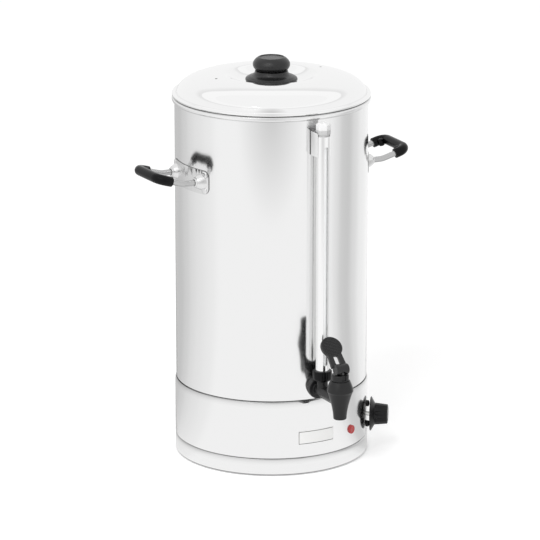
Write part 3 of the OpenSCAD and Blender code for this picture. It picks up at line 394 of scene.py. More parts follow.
neck_r = tank_r - 1.5
roll_top = (tank_r - sheet + rim_roll_r, rim_z - rim_roll_r)
roll_low = (tank_r - sheet + rim_roll_r, band_z + rim_roll_r)
floor_corner = (neck_r - 4, floor_z + 4)
tank_section = (
    [(0, floor_z)] + arc(floor_corner, 4, -90, 0)
    + [(neck_r, seam_z + 0.2), (tank_r - 0.3, seam_z + 1.3), (tank_r, seam_z + 2)]
    + [(tank_r, roll_low[1] - 1.84)]
    + arc(roll_low, rim_roll_r, 236, 360, 10) + arc(roll_top, rim_roll_r, 0, 180, 14)
    + [(tank_r - sheet, seam_z + 2), (neck_r - sheet, seam_z + 0.2)]
    + arc(floor_corner, 4 - sheet, 0, -90) + [(0, floor_z + sheet)])
tank = spun("tank_wall", tank_section, 256)
smooth(tank)
fit(tank, "urn", "polished_steel", tank_steel, "tank")
# inside it is left satin, as the sheet came
satin_steel = grained("satin_steel", (0.84, 0.84, 0.84), 0.35, 40, (0.42, 0.56), 0.004, stretch=(1, 1, 0.1))
tank.data.materials.append(satin_steel)
for face in tank.data.polygons:
    inwards = face.normal.x * face.center.x + face.normal.y * face.center.y < 0
    on_floor = face.normal.z > 0.5 and face.center.z < (floor_z + 2) * mm
    if on_floor or (inwards and face.center.z < band_z * mm):
        face.material_index = 1


# ---- Base ----
# Skirt and bottom ring are spun from the same sheet, each a little wider than the tank, with a rounded
# shoulder that closes into a groove at its seam. The skirt stands in the ring.
skirt_r = tank_r + 1.5
ring_top_z = 24
ring_gap = 1.5
shoulder_h = 9
groove = 1.6
skirt_neck_r = skirt_r - groove - 1


def shoulder(radius, top):
    return sweep_of((radius, top - shoulder_h), (radius, top - 0.35 * shoulder_h), (radius - 0.4, top - 0.6),
                    (radius - groove, top - 0.3))


def thicken(piece, thickness, offset, even):
    """Gives an open sheet its wall, in mm."""
    wall = piece.modifiers.new("wall", "SOLIDIFY")
    wall.thickness = thickness * mm
    wall.offset = offset
    wall.use_even_offset = even
    bpy.ops.object.modifier_apply(modifier="wall")


def spun_sheet(name, line):
    """A sheet whose outer face is the given line: spun open, then given its wall inwards."""
    piece = spun(name, line, 256)
    thicken(piece, sheet, -1, True)
    return piece


def base_steel(name, foot, foot_shade, top):
    """The same polished steel, with painted shade where the piece's rounded shoulder runs into the seam above
    it and along its foot.
    """
    return polished(name, ((foot, foot_shade), (foot + 0.7, foot_shade), (foot + 1.5, steel_tone),
                           (top - 8.5, steel_tone), (top - 5, 0.82), (top - 2.6, 0.74), (top - 1.2, 0.66),
                           (top, 0.52)))


# painted shade: the skirt greys where it stands in the ring and under its shoulder, and the ring's foot
# carries a painted dark contact line
skirt_steel = base_steel("skirt_steel", ring_top_z + 0.2, 0.6, seam_z)
ring_steel = base_steel("ring_steel", ring_gap, 0.1, ring_top_z)
skirt = spun_sheet("base_skirt_sheet", [(skirt_neck_r, ring_top_z - 8), (skirt_neck_r, ring_top_z),
                                        (skirt_r - 0.3, ring_top_z + 1), (skirt_r, ring_top_z + 1.6)]
                   + shoulder(skirt_r, seam_z))
smooth(skirt)
fit(skirt, "urn", "polished_steel", skirt_steel, "base_skirt")
ring_foot = [(skirt_r - 10, ring_gap)] + arc((skirt_r - 1, ring_gap + 1), 1, -90, 0, 4)
ring = spun_sheet("bottom_ring_sheet", ring_foot + shoulder(skirt_r, ring_top_z))
smooth(ring)
fit(ring, "urn", "polished_steel", ring_steel, "bottom_ring")


# ---- Lid ----
# The lid is one pressed and polished sheet: a dished middle inside a raised crown, a steep shoulder, a
# rolled bead that rests just off the rim, and a short wall below it that centres it in the tank.
lid_z = rim_z + 0.3
bead_r = 2.8
bead = (tank_r + 0.4, lid_z + bead_r)
lid_wall_r = tank_r - 3
crown_z = rim_z + 29.5
dish_z = crown_z - 11
vent_az = math.radians(95.5)
vent_ring_r = 79
vent_r = 1.6


def cut(piece, tool, how="DIFFERENCE"):
    """Cuts a piece with another one, which is used up."""
    knife = piece.modifiers.new("cut", "BOOLEAN")
    knife.object = tool
    knife.operation = how
    knife.solver = "EXACT"
    bpy.context.view_layer.objects.active = piece
    bpy.ops.object.modifier_apply(modifier="cut")
    bpy.data.objects.remove(tool)


def rod(name, radius, length, at, rotation=(0, 0, 0), vertices=48):
    """A round bar round its middle, in mm."""
    bpy.ops.object.select_all(action="DESELECT")
    bpy.ops.mesh.primitive_cylinder_add(vertices=vertices, radius=radius * mm, depth=length * mm,
                                        location=Vector(at) * mm, rotation=rotation)
    return new_piece(name)


along_x = (0, math.pi / 2, 0)
along_y = (math.pi / 2, 0, 0)
dome = (sweep_of((34, dish_z), (50, dish_z), (57, crown_z), (64, crown_z), 20)
        + sweep_of((64, crown_z), (78, crown_z), (92, crown_z - 2.3), (104, crown_z - 5.7), 14)[1:]
        + sweep_of((104, crown_z - 5.7), (121, crown_z - 10.5), (lid_wall_r - 0.4, rim_z + 11),
                   (lid_wall_r + 0.3, rim_z + 5.2), 22)[1:])
inside = [(r - 0.3, z - 1) if r < 110 else (r - 1, z - 0.5) for r, z in reversed(dome)]
lid_section = ([(0, dish_z)] + dome + arc(bead, bead_r, 162, -90, 22)
               + [(lid_wall_r, lid_z), (lid_wall_r, lid_z - 7.6), (lid_wall_r - 0.5, lid_z - 8),
                  (lid_wall_r - 1, lid_z - 7.6)] + inside + [(0, dish_z - 1)])
lid = spun("lid_dome", lid_section, 256)
for side in (-1, 1):
    at = (side * vent_ring_r * math.sin(vent_az), -vent_ring_r * math.cos(vent_az), crown_z)
    cut(lid, rod("vent", vent_r, 30, at, vertices=32))
smooth(lid)
lid_steel = grained("lid_steel", (0.93, 0.93, 0.93), 1.0, 30, (0.03, 0.06), 0.002)
fit(lid, "lid", "polished_steel", lid_steel, "lid_shell")


# ---- Lid knob ----
# Two mouldings in satin black phenolic, a flared collar and a bulb with a sunk disc on top, held by one
# screw from inside the lid.
collar_top = dish_z + 15
knob_top = collar_top + 18.5
disc_r = 16


def black_plastic(name, tone, across, rough, depth, shine):
    """Black phenolic or nylon, faintly blue, with the texture of its mould."""
    return grained(name, (tone, tone, tone + 0.0005), 0.0, across, rough, depth,
                   others=[("Specular IOR Level", shine)])


knob_black = black_plastic("knob_black", 0.009, 2.5, (0.26, 0.38), 0.008, 0.46)
collar = spun("knob_collar", [(0, dish_z), (25.5, dish_z), (25.5, dish_z + 1.6)]
              + arc((32.3, dish_z + 3.3), 2.7, -70, 75, 12)
              + sweep_of((32.6, dish_z + 6), (29, dish_z + 9.2), (24.6, dish_z + 7.6),
                         (22.3, dish_z + 13.2), 16)
              + [(22.3, collar_top - 0.7), (22, collar_top - 0.2), (21.4, collar_top), (0, collar_top)], 128)
smooth(collar, 40)
fit(collar, "lid", "black_plastic", knob_black, "lid_knob_flange")
bulb = spun("knob_bulb", [(0, collar_top + 0.01), (19.6, collar_top + 0.01)]
            + sweep_of((19.8, collar_top + 0.15), (22.6, collar_top + 2), (25, knob_top - 13.5),
                       (25, knob_top - 9.8), 14)
            + sweep_of((25, knob_top - 9.8), (25, knob_top - 6), (21.5, knob_top - 2),
                       (17.6, knob_top - 0.1), 14)[1:]
            + [(17.1, knob_top), (16.6, knob_top), (disc_r + 0.2, knob_top - 0.2), (disc_r, knob_top - 0.8),
               (disc_r - 0.2, knob_top - 1), (0, knob_top - 0.8)], 128)
smooth(bulb, 40)
fit(bulb, "lid", "black_plastic", knob_black, "lid_knob")


# ---- Handles ----
# Each handle is a polished steel rod bent to a U, which stands in two cone bosses on a riveted back
# plate, with a black grip of two half shells round its bar. It is modelled once, standing up with its
# legs along Z, and turned out of the wall at each side.
handle_az = math.radians(88)
handle_z = 397
plate_half_w = 47.6
plate_h = 32
plate_t = 1.2
rod_r = 4
leg_x = 33
boss_h = 5
leg_start = tank_r + 2
bend_start = tank_r + boss_h + 11
bend_r = 32
tilt = math.radians(16)
rod_corner_r = 12
reach = 57
leg_len = (tank_r + reach - bend_start - bend_r * math.sin(tilt)) / math.cos(tilt) - rod_corner_r
along = Vector((0, math.sin(tilt), math.cos(tilt)))
upward = Vector((0, math.cos(tilt), -math.sin(tilt)))
bend_end = Vector((0, bend_r * (1 - math.cos(tilt)), bend_start + bend_r * math.sin(tilt)))


def on_wall(piece, az, height):
    """Turns a piece that was modelled standing up so that it points out of the wall."""
    piece.rotation_euler = (math.pi / 2, 0, az)
    piece.location = (0, 0, height * mm)
    settle(piece)


def copy_of(piece, name):
    twin = piece.copy()
    twin.data = piece.data.copy()
    twin.name = name
    bpy.context.scene.collection.objects.link(twin)
    return twin


def closed(piece):
    """Caps the open ends of a piece and turns its faces outwards."""
    active(piece)
    bpy.ops.object.mode_set(mode="EDIT")
    bpy.ops.mesh.select_all(action="SELECT")
    bpy.ops.mesh.remove_doubles(threshold=weld * mm)
    bpy.ops.mesh.select_all(action="DESELECT")
    bpy.ops.mesh.select_non_manifold()
    bpy.ops.mesh.fill_holes(sides=64)
    close_up()


def bent_bar(name, radius, leg_from, from_wall):
    """A round bar along one leg, round the corner and to the middle, then mirrored into the whole U."""
    bpy.ops.object.select_all(action="DESELECT")
    if from_wall:
        bpy.ops.mesh.primitive_circle_add(vertices=32, radius=radius * mm,
                                          location=(leg_x * mm, 0, leg_start * mm), enter_editmode=True)
        extrude(0, 0, bend_start - leg_start)
        bend_centre = (leg_x * mm, bend_r * mm, bend_start * mm)
        bpy.ops.mesh.spin(steps=6, angle=tilt, center=bend_centre, axis=(1, 0, 0))
    else:
        start = bend_end + along * leg_from
        bpy.ops.mesh.primitive_circle_add(vertices=32, radius=radius * mm, rotation=(-tilt, 0, 0),
                                          location=(leg_x * mm, start.y * mm, start.z * mm),
                                          enter_editmode=True)
    extrude(*(along * (leg_len - leg_from)))
    corner = bend_end + along * leg_len + Vector((leg_x - rod_corner_r, 0, 0))
    bpy.ops.mesh.spin(steps=14, angle=math.pi / 2, center=corner * mm, axis=upward)
    extrude(rod_corner_r - leg_x, 0, 0)
    bpy.ops.object.mode_set(mode="OBJECT")
    bar = new_piece(name)
    mirror = bar.modifiers.new("other_leg", "MIRROR")
    mirror.use_clip = True
    mirror.merge_threshold = 0.01 * mm
    bpy.ops.object.modifier_apply(modifier="other_leg")
    closed(bar)
    return bar


def soften(piece, width, angle=50):
    """Breaks the edges of a piece that are sharper than an angle."""
    active(piece)
    edge = piece.modifiers.new("edge", "BEVEL")
    edge.width = width * mm
    edge.segments = 2
    edge.limit_method = "ANGLE"
    edge.angle_limit = math.radians(angle)
    bpy.ops.object.modifier_apply(modifier="edge")


def block(name, size, at, corner=0, along_axis=1):
    """A block of a size at a place, in mm, with its four edges along one axis rounded."""
    bpy.ops.object.select_all(action="DESELECT")
    bpy.ops.mesh.primitive_cube_add(size=1, location=Vector(at) * mm, scale=Vector(size) * mm)
    piece = new_piece(name)
    if corner:
        def runs_along(edge):
            a, b = (piece.data.vertices[v].co for v in edge.vertices)
            return (a - b).normalized()[along_axis] ** 2 > 0.99

        pick(piece, runs_along, "EDGE")
        bpy.ops.mesh.bevel(offset=corner * mm, segments=12, affect="EDGES")
        put_down()
    return piece


def joined(pieces, name):
    bpy.ops.object.select_all(action="DESELECT")
    for piece in pieces:
        piece.select_set(True)
    bpy.context.view_layer.objects.active = pieces[0]
    bpy.ops.object.join()
    pieces[0].name = name
    return pieces[0]


# back plate: a band of sheet rolled to the tank, its outline cut by a rounded bar that points outwards
plate_r = tank_r + plate_t
plate = spun("back_plate", [(tank_r, -plate_h / 2), (plate_r, -plate_h / 2), (plate_r, plate_h / 2),
                            (tank_r, plate_h / 2), (tank_r, -plate_h / 2)], 64, math.radians(50))
closed(plate)
plate.rotation_euler = (0, 0, math.radians(-65))
settle(plate)
cut(plate, block("outline", (2 * plate_half_w, 60, plate_h), (0, -tank_r, 0), 9), "INTERSECT")
soften(plate, 0.55)

# boss: a cone with a collar, its foot cut to the back plate
boss_out = plate_r + boss_h
boss = spun("foot_boss", [(0, tank_r - 8), (12.5, tank_r - 8)]
            + sweep_of((12.5, tank_r - 8), (10.5, boss_out - 8), (8, boss_out - 3.4),
                       (7, boss_out - 2), 8)[1:]
            + [(6.3, boss_out - 1.8), (6, boss_out - 1.2), (6, boss_out - 0.4), (5.6, boss_out),
               (4.7, boss_out), (4.6, boss_out - 2), (4, boss_out - 2), (4, leg_start), (0, leg_start)], 64)
boss.location.x = leg_x * mm
other_boss = copy_of(boss, "other_boss")
other_boss.location.x = -leg_x * mm
bosses = joined([boss, other_boss], "foot_bosses")
settle(bosses)
cut(bosses, rod("wall", plate_r, 80, (0, 0, 0), along_y, 256))

u_rod = bent_bar("u_rod", rod_r, 0, True)

# grip: a bar with two screw lugs, parted along its middle into two shells
lug_at = bend_end + along * (leg_len + 2.4)
lug_x = leg_x - 9.6
through_grip = (-math.pi / 2 - tilt, 0, 0)
grip = bent_bar("grip", 6.8, leg_len - 6, False)
for side in (-1, 1):
    cut(grip, rod("lug", 3.6, 9, (side * lug_x, lug_at.y, lug_at.z), through_grip, 32), "UNION")


def half_of(whole, name, normal):
    """The half of a piece on one side of the grip's parting plane, capped, with the parting edge broken."""
    half = copy_of(whole, name)
    active(half)
    bpy.ops.object.mode_set(mode="EDIT")
    bpy.ops.mesh.select_all(action="SELECT")
    bpy.ops.mesh.bisect(plane_co=bend_end * mm, plane_no=normal, use_fill=True, clear_inner=True)
    bpy.ops.object.mode_set(mode="OBJECT")
    soften(half, 0.4)
    smooth(half, 40)
    return half


grip_top = half_of(grip, "grip_top", upward)
grip_bottom = half_of(grip, "grip_bottom", -upward)
bpy.data.objects.remove(grip)

# screw: a small pan head with a cross slot
screw = spun("grip_screw", [(0, -8.5), (1.4, -8.5), (1.4, 0), (2.6, 0), (2.6, 0.5), (2.3, 0.95), (1.7, 1.2),
                            (0, 1.25)], 32)
for angle in (0, math.pi / 2):
    cut(screw, rod("slot", 0.28, 3.4, (0, 0, 1.25), (math.pi / 2, 0, angle), 6))
smooth(screw)
screws_at = lug_at + upward * 4.5

plain_steel = grained("plain_steel", (0.72, 0.72, 0.71), 1.0, 4, (0.16, 0.3), 0.006)
handle_steel = grained("handle_steel", (0.78, 0.78, 0.78), 1.0, 10, (0.14, 0.24), 0.004)
# painted shade: a dark steel for the edges of sheet pieces, standing for the shadow gap and dark reflection
# round them
edge_shade_steel = grained("edge_shade_steel", (0.16, 0.16, 0.16), 1.0, 2, (0.3, 0.45), 0.006)
dark_steel = grained("dark_steel", (0.05, 0.05, 0.052), 1.0, 2, (0.25, 0.4), 0.006)
rod_steel = grained("rod_steel", (0.52, 0.52, 0.52), 1.0, 10, (0.12, 0.2), 0.003)
grip_black = black_plastic("grip_black", 0.004, 3, (0.14, 0.22), 0.005, 0.15)


def with_shaded_edges(piece, is_face):
    """Gives the edges of a piece of sheet a painted dark outline, standing for the shadow gap and dark
    reflection along them; the rest are its two faces.
    """
    piece.data.materials.append(edge_shade_steel)
    for face in piece.data.polygons:
        if not is_face(face):
            face.material_index = 1


for side, where_to in ((-1, "left"), (1, "right")):
    az = side * handle_az
    back = copy_of(plate, where_to + "_back_plate")
    back.rotation_euler = (0, 0, az)
    back.location.z = handle_z * mm
    settle(back)
    smooth(back, 40)
    fit(back, "urn", "polished_steel", handle_steel, where_to + "_handle_plate")
    # the plate's edges get the painted dark outline
    with_shaded_edges(back, lambda face: abs(face.normal.xy.dot(face.center.xy)) > 0.96 * tank_r * mm)
    for model, part, slot, finish, node in (
            (bosses, "_foot_bosses", "polished_steel", handle_steel, "_handle_bosses"),
            (u_rod, "_u_rod", "polished_steel", rod_steel, "_handle_rod"),
            (grip_top, "_grip_upper_shell", "black_plastic", grip_black, "_grip_top"),
            (grip_bottom, "_grip_lower_shell", "black_plastic", grip_black, "_grip_bottom")):
        piece = copy_of(model, where_to + part)
        on_wall(piece, az, handle_z)
        smooth(piece, 40)
        fit(piece, "urn", slot, finish, where_to + node)
screws = []
for side in (-1, 1):
    for end in (-1, 1):
        piece = copy_of(screw, "grip_screw_copy")
        piece.rotation_euler = through_grip
        piece.location = Vector((end * lug_x, screws_at.y, screws_at.z)) * mm
        settle(piece)
        on_wall(piece, side * handle_az, handle_z)
        screws.append(piece)
fit(joined(screws, "grip_screw_set"), "urn", "plain_steel", dark_steel, "grip_screws")
for model in (plate, bosses, u_rod, grip_top, grip_bottom, screw):
    bpy.data.objects.remove(model)


# ---- Rivets ----
# Solid stainless rivets hold the back plates and the gauge's bracket to the wall: a low domed head
# outside, and a short shank that is set flush in the sheet.
rivet_head_r = 4.4
rivet_across, rivet_up = 40.6, 10.8
strap_z, strap_rivet_up = 457.5, 9
rivet_places = [(side * handle_az + turn * math.asin(rivet_across / tank_r), handle_z + dz)
                for side in (-1, 1) for turn in (-1, 1) for dz in (-rivet_up, rivet_up)]
rivet_places += [(0, strap_z - strap_rivet_up), (0, strap_z + strap_rivet_up)]
rivet = spun("rivet", [(0, tank_r - 2.25), (3.1, tank_r - 2.25), (3.4, tank_r - 1.9), (3.4, tank_r - 1.05),
                       (2.4, tank_r - 1.05), (2.4, plate_r), (rivet_head_r, plate_r),
                       (rivet_head_r, plate_r + 0.45)]
             + sweep_of((rivet_head_r, plate_r + 0.45), (3.9, plate_r + 1.2), (2.2, plate_r + 1.5),
                        (0, plate_r + 1.5), 8)[1:], 32)
rivets = []
for az, height in rivet_places:
    piece = copy_of(rivet, "rivet_copy")
    on_wall(piece, az, height)
    rivets.append(piece)
rivet_set = joined(rivets, "rivet_set")
smooth(rivet_set)
fit(rivet_set, "urn", "plain_steel", handle_steel, "wall_rivets")
bpy.data.objects.remove(rivet)


# ---- Sight gauge ----
# A glass tube stands on the tap inside a steel guard tube with a long slot. A ribbed black cup nut
# clamps it at the foot, a milky hexagonal cap closes it at the top, and a bent strap holds the guard.
gauge_y = -(tank_r + 17)
cup_top = 149
guard_top = 469
guard_r = 9
slot_w = 7

guard = spun("guard_tube", [(guard_r - 1, cup_top - 3), (guard_r, cup_top - 3), (guard_r, guard_top - 0.3),
                            (guard_r - 0.3, guard_top), (guard_r - 1, guard_top),
                            (guard_r - 1, cup_top - 3)], 96)
slot_low, slot_high = cup_top + 11 - slot_w / 2, guard_top - 17 + slot_w / 2
cut(guard, block("slot", (slot_w, 20, slot_high - slot_low), (0, -guard_r - 4, (slot_low + slot_high) / 2),
                 slot_w / 2 - 0.01))


def on_axis(piece, y):
    """Moves a spun piece from the origin to its own upright axis."""
    piece.location.y = y * mm
    settle(piece)


on_axis(guard, gauge_y)
smooth(guard)
guard_steel = grained("guard_steel", (0.93, 0.93, 0.93), 1.0, 20, (0.09, 0.16), 0.003, stretch=(1, 1, 0.1))
fit(guard, "urn", "polished_steel", guard_steel, "gauge_guard")

glass_low, glass_top = 138, 475
glass_tube = spun("glass_tube", [(3.8, glass_low), (5, glass_low), (5, glass_top - 0.3), (4.7, glass_top),
                                 (4.1, glass_top), (3.8, glass_top - 0.3), (3.8, glass_low)], 48)
on_axis(glass_tube, gauge_y)
smooth(glass_tube)
# the glass glows faintly: painted light, standing for the light that passes through the tube
gauge_glass = grained("gauge_glass", (0.95, 0.96, 0.96), 0.0, 10, (0.03, 0.07), 0.001, others=[
    ("Roughness", 0.05), ("Transmission Weight", 0.12), ("Emission Color", grey(1)),
    ("Emission Strength", 0.16), ("IOR", 1.47)])
fit(glass_tube, "urn", "glass", gauge_glass, "gauge_glass")

# vent cap: a hexagon on a round neck, its top edge turned down to a small boss with the vent
cap = rod("vent_cap", 9.8, 13.5, (0, gauge_y, guard_top + 9.25), vertices=6)
pick(cap, lambda face: face.normal.z > 0.9)
bpy.ops.mesh.inset(thickness=0.5 * mm)
top_at = (0, gauge_y * mm, (guard_top + 18) * mm)
extrude(0, 0, 2)
bpy.ops.transform.resize(value=(0.68, 0.68, 1), center_override=top_at)
bpy.ops.mesh.inset(thickness=3.4 * mm)
extrude(0, 0, -4)
put_down()
soften(cap, 0.45, 25)
cap = joined([cap, rod("cap_neck", guard_r - 1.1, 9, (0, gauge_y, guard_top - 1.5))], "vent_cap")
smooth(cap)
milky = grained("milky_plastic", (0.83, 0.83, 0.82), 0.0, 2, (0.24, 0.36), 0.004, others=[
    ("Roughness", 0.3), ("Transmission Weight", 0.05)])
toned_by_height(milky, ((guard_top, 0.5), (guard_top + 2.5, 0.56), (guard_top + 8, 0.6),
                        (guard_top + 9.5, 0.84), (guard_top + 18, 0.86)))
fit(cap, "urn", "natural_plastic", milky, "gauge_vent_cap")

# cup nut: turned, then every sixth edge of its wall drawn in for the grip
cup_low = cup_top - 14
cup_r = 12.8
cup = spun("cup_nut", [(6.6, cup_low), (10.4, cup_low), (10.8, cup_low + 0.3), (12.6, cup_low + 2.7),
                       (cup_r, cup_low + 3.2), (cup_r, cup_top - 0.8), (12.2, cup_top - 0.1),
                       (11.6, cup_top), (9.05, cup_top), (9.05, cup_top - 3), (6.6, cup_top - 3),
                       (6.6, cup_low)], 96)
cup_flute = math.tau / 16


def on_flute(v):
    turned = math.atan2(v.co.y, v.co.x) % cup_flute
    on_side = math.hypot(v.co.x, v.co.y) > (cup_r - 0.7) * mm and v.co.z > (cup_low + 3) * mm
    return on_side and min(turned, cup_flute - turned) < 0.01


pick(cup, on_flute, "VERT")
bpy.ops.transform.resize(value=(0.965, 0.965, 1), center_override=(0, 0, cup_low * mm))
put_down()
on_axis(cup, gauge_y)
smooth(cup, 45)
fit(cup, "urn", "black_plastic", grip_black, "gauge_cup_nut")

# bracket: one strip bent to a U on end, riveted to the wall through its back
strap_x = guard_r + 0.6
strap_y = -(tank_r + 0.6)
strap_h = 33
strap_line = ([(-strap_x, gauge_y - 2), (-strap_x, strap_y - 2)]
              + arc((-strap_x + 2, strap_y - 2), 2, 180, 90, 5)[1:]
              + arc((strap_x - 2, strap_y - 2), 2, 90, 0, 5) + [(strap_x, gauge_y - 2)])
draw([(x, y, strap_z - strap_h / 2) for x, y in strap_line])
extrude(0, 0, strap_h)
bpy.ops.object.mode_set(mode="OBJECT")
strap = new_piece("gauge_strap")
thicken(strap, 1.2, 0, False)
soften(strap, 0.25)
smooth(strap, 40)
fit(strap, "urn", "polished_steel", guard_steel, "gauge_bracket")
# the strap's edges get the painted dark outline too
with_shaded_edges(strap, lambda face: abs(face.normal.z) < 0.3 and (
    face.center.y < (strap_y - 2.5) * mm or not 0.25 < abs(face.normal.x) < 0.97))


# ---- Tap ----
# The body is one black moulding: a threaded barrel through the wall with a flange, a stub that carries
# the gauge, and the valve chamber with its tapered spout. A bonnet closes it, and the key-shaped lever
# turns on a steel pin through the valve's stem.
tap_z = 120
valve_y = -(tank_r + 66.5)
valve_top = tap_z + 28.5
bulge_z = tap_z + 14.5
outlet_z = bulge_z - 39
barrel_r = 8

tap_black = black_plastic("tap_black", 0.01, 2, (0.28, 0.38), 0.008, 0.34)


def moulded(piece, size, rounds):
    """Runs the pieces of a moulding together and rounds all its edges a little, as the mould does."""
    active(piece)
    skin = piece.modifiers.new("skin", "REMESH")
    skin.mode = "VOXEL"
    skin.voxel_size = size * mm
    bpy.ops.object.modifier_apply(modifier="skin")
    ease = piece.modifiers.new("ease", "SMOOTH")
    ease.factor = 0.5
    ease.iterations = rounds
    bpy.ops.object.modifier_apply(modifier="ease")
    bpy.ops.object.shade_smooth()


body = spun("tap_moulding", [(0, outlet_z), (8.4, outlet_z), (8.8, outlet_z + 1)]
            + sweep_of((9, outlet_z + 4), (9.8, outlet_z + 16), (13.3, bulge_z - 12),
                       (16.4, bulge_z - 2.5), 12)
            + [(17.8, bulge_z), (17.4, bulge_z + 2)]
            + sweep_of((17.4, bulge_z + 2), (16.8, bulge_z + 6), (14.4, valve_top - 3),
                       (13.2, valve_top), 8)[1:]
            + [(11.6, valve_top), (11.6, valve_top - 1), (0, valve_top - 1)], 64)
on_axis(body, valve_y)
for tool, how in ((rod("barrel", barrel_r, 64, (0, valve_y + 32, tap_z), along_y), "UNION"),
                  (rod("flange", 13.5, 4, (0, -(tank_r + 4.5), tap_z), along_y, 64), "UNION"),
                  (rod("thread", 9.6, 24, (0, -(tank_r - 8), tap_z), along_y), "UNION"),
                  (block("rib", (2.4, 50, 12), (0, -(tank_r + 30), tap_z - 4)), "UNION"),
                  (rod("stub", 7.5, 15, (0, gauge_y, tap_z + 7.5)), "UNION"),
                  (rod("bore", 4.6, 60, (0, -(tank_r + 4), tap_z), along_y), "DIFFERENCE"),
                  (rod("outlet", 6, 24, (0, valve_y, outlet_z + 6)), "DIFFERENCE")):
    cut(body, tool, how)
moulded(body, 0.45, 4)
fit(body, "urn", "black_plastic", tap_black, "tap_body")

bonnet_top = valve_top + 8.6
bonnet = spun("tap_bonnet_cap", [(0, valve_top - 0.9), (11.4, valve_top - 0.9), (11.6, valve_top + 0.4),
                                 (11.6, bonnet_top - 1), (11.2, bonnet_top - 0.3), (10.6, bonnet_top),
                                 (0, bonnet_top)], 64)
on_axis(bonnet, valve_y)
cut(bonnet, block("window", (6, 6.5, 12), (0, valve_y - 12.35, valve_top + 8)))
cut(bonnet, rod("stem_bore", 3.06, 30, (0, valve_y, valve_top)))
soften(bonnet, 0.4, 40)
smooth(bonnet, 35)
fit(bonnet, "urn", "black_plastic", tap_black, "tap_bonnet")

pin_z = 162.4425
lean = math.radians(45)
lever_len = 35
lever_t = 4.5
thumb_r = 15
shank_from, shank_len = 4.7, lever_len - 8.7
cam_x, cam_off, cam_angle = 6.9, 3.5, math.radians(35)
cam_back = Vector((0, valve_y - cam_off * math.cos(cam_angle), pin_z + cam_off * math.sin(cam_angle)))
shaft_len = 14
lever = rod("tap_key", thumb_r, lever_t, (0, lever_len, 0), vertices=96)
shank = block("shank", (19.2, shank_len, lever_t), (0, shank_from + shank_len / 2, 0))
pick(shank, lambda v: v.co.y < 6 * mm, "VERT")
bpy.ops.transform.resize(value=(1.17, 1, 1), center_override=(0, shank_from * mm, 0))
put_down()
for tool in [shank] + [block("cheek", (4, 8, lever_t - 0.2), (side * cam_x, 6, 0)) for side in (-1, 1)]:
    cut(lever, tool, "UNION")
cut(lever, block("key_slot", (7, 12.5, 20), (0, 14.75, 0), 1.6, along_axis=2))


def lean_on_pin(piece):
    """Sets a piece that was modelled flat, with the pin at the origin, to its place on the valve."""
    piece.rotation_euler = (lean, 0, 0)
    piece.location = (0, valve_y * mm, pin_z * mm)
    settle(piece)


lean_on_pin(lever)
for side in (-1, 1):
    cut(lever, rod("cam", 7, 4.4, (side * cam_x, cam_back.y, cam_back.z), along_x, 64), "UNION")
# a saddle closes the gap between the cams, over the head of the valve's stem
saddle = rod("saddle", 6.9, 10, (0, cam_back.y, cam_back.z), along_x, 64)
cut(saddle, rod("head_room", 5.2, 12, (0, valve_y, pin_z), along_x))
# the stem's shaft swings through it, from straight down to where it points with the lever turned over
for angle in (200, 218, 236, 254, 270):
    swing = math.radians(angle)
    at = (0, valve_y + shaft_len / 2 * math.cos(swing), pin_z + shaft_len / 2 * math.sin(swing))
    cut(saddle, rod("shaft_room", 3.5, shaft_len, at, (swing - math.pi / 2, 0, 0), 32))
below = block("below", (12, 16, 16), (0, -6.9, -2.9))
lean_on_pin(below)
cut(saddle, below)
cut(lever, saddle, "UNION")
cut(lever, rod("pin_hole", 1.66, 40, (0, valve_y, pin_z), along_x, 24))
moulded(lever, 0.35, 3)

# thumb grip: a raised rim round the disc and fine ridges across it
ridges = [spun("thumb_rim", arc((thumb_r - 1.2, lever_t / 2 - 0.2), 0.75, 0, 360, 12), 72)]
ridges[0].location.y = lever_len * mm
ridge_pitch = 2.2
for i in range(-5, 6):
    across_disc = i * ridge_pitch
    chord = math.sqrt((thumb_r - 1.6) ** 2 - across_disc ** 2)
    ridge_place = (0, lever_len + across_disc, lever_t / 2 - 0.15)
    ridges.append(rod("ridge", 0.75, 2 * chord, ridge_place, along_x, 12))
grip_marks = joined(ridges, "thumb_ridges")
settle(grip_marks)
smooth(grip_marks, 60)
lean_on_pin(grip_marks)
lever = joined([lever, grip_marks], "tap_key")
lever_black = black_plastic("lever_black", 0.009, 2, (0.2, 0.3), 0.006, 0.45)
fit(lever, "tap_lever", "black_plastic", lever_black, "tap_lever")


# ---- Thermostat ----
# Two black pan-head screws hold the thermostat behind the skirt, and a push-on knob with a thin rim, a
# cone and a fluted grip sits on its spindle. All are made standing up and turned out of the wall.
thermostat_az = math.radians(56.5)
thermostat_z = 50.5
dial_r = 23.5
knob_back = skirt_r + 4.7
knob_rim_t = 1.5
grip_foot = knob_back + 5.8
grip_h = 18
grip_r = 15
flutes_n = 9
flute_r = 3
flute_at_r = grip_r + 0.5
screw_head_t = 3.4
fixing_y = 14.5

dial_black = black_plastic("dial_black", 0.007, 2, (0.16, 0.26), 0.005, 0.22)

fixings = []
for side in (-1, 1):
    head = spun("fixing_screw", [(0, 118), (2, 118), (2, skirt_r), (4.4, skirt_r), (4.4, skirt_r + 1.5)]
                + sweep_of((4.4, skirt_r + 1.5), (4.2, skirt_r + 2.6), (2.9, skirt_r + screw_head_t),
                           (0, skirt_r + screw_head_t), 8)[1:], 48)
    cut(head, block("slot", (1, 9, 2.2), (0, 0, skirt_r + screw_head_t)))
    on_axis(head, side * fixing_y)
    on_wall(head, thermostat_az, thermostat_z)
    fixings.append(head)
fixing_set = joined(fixings, "fixing_screws")
smooth(fixing_set)
fit(fixing_set, "urn", "black_plastic", dial_black, "thermostat_screws")

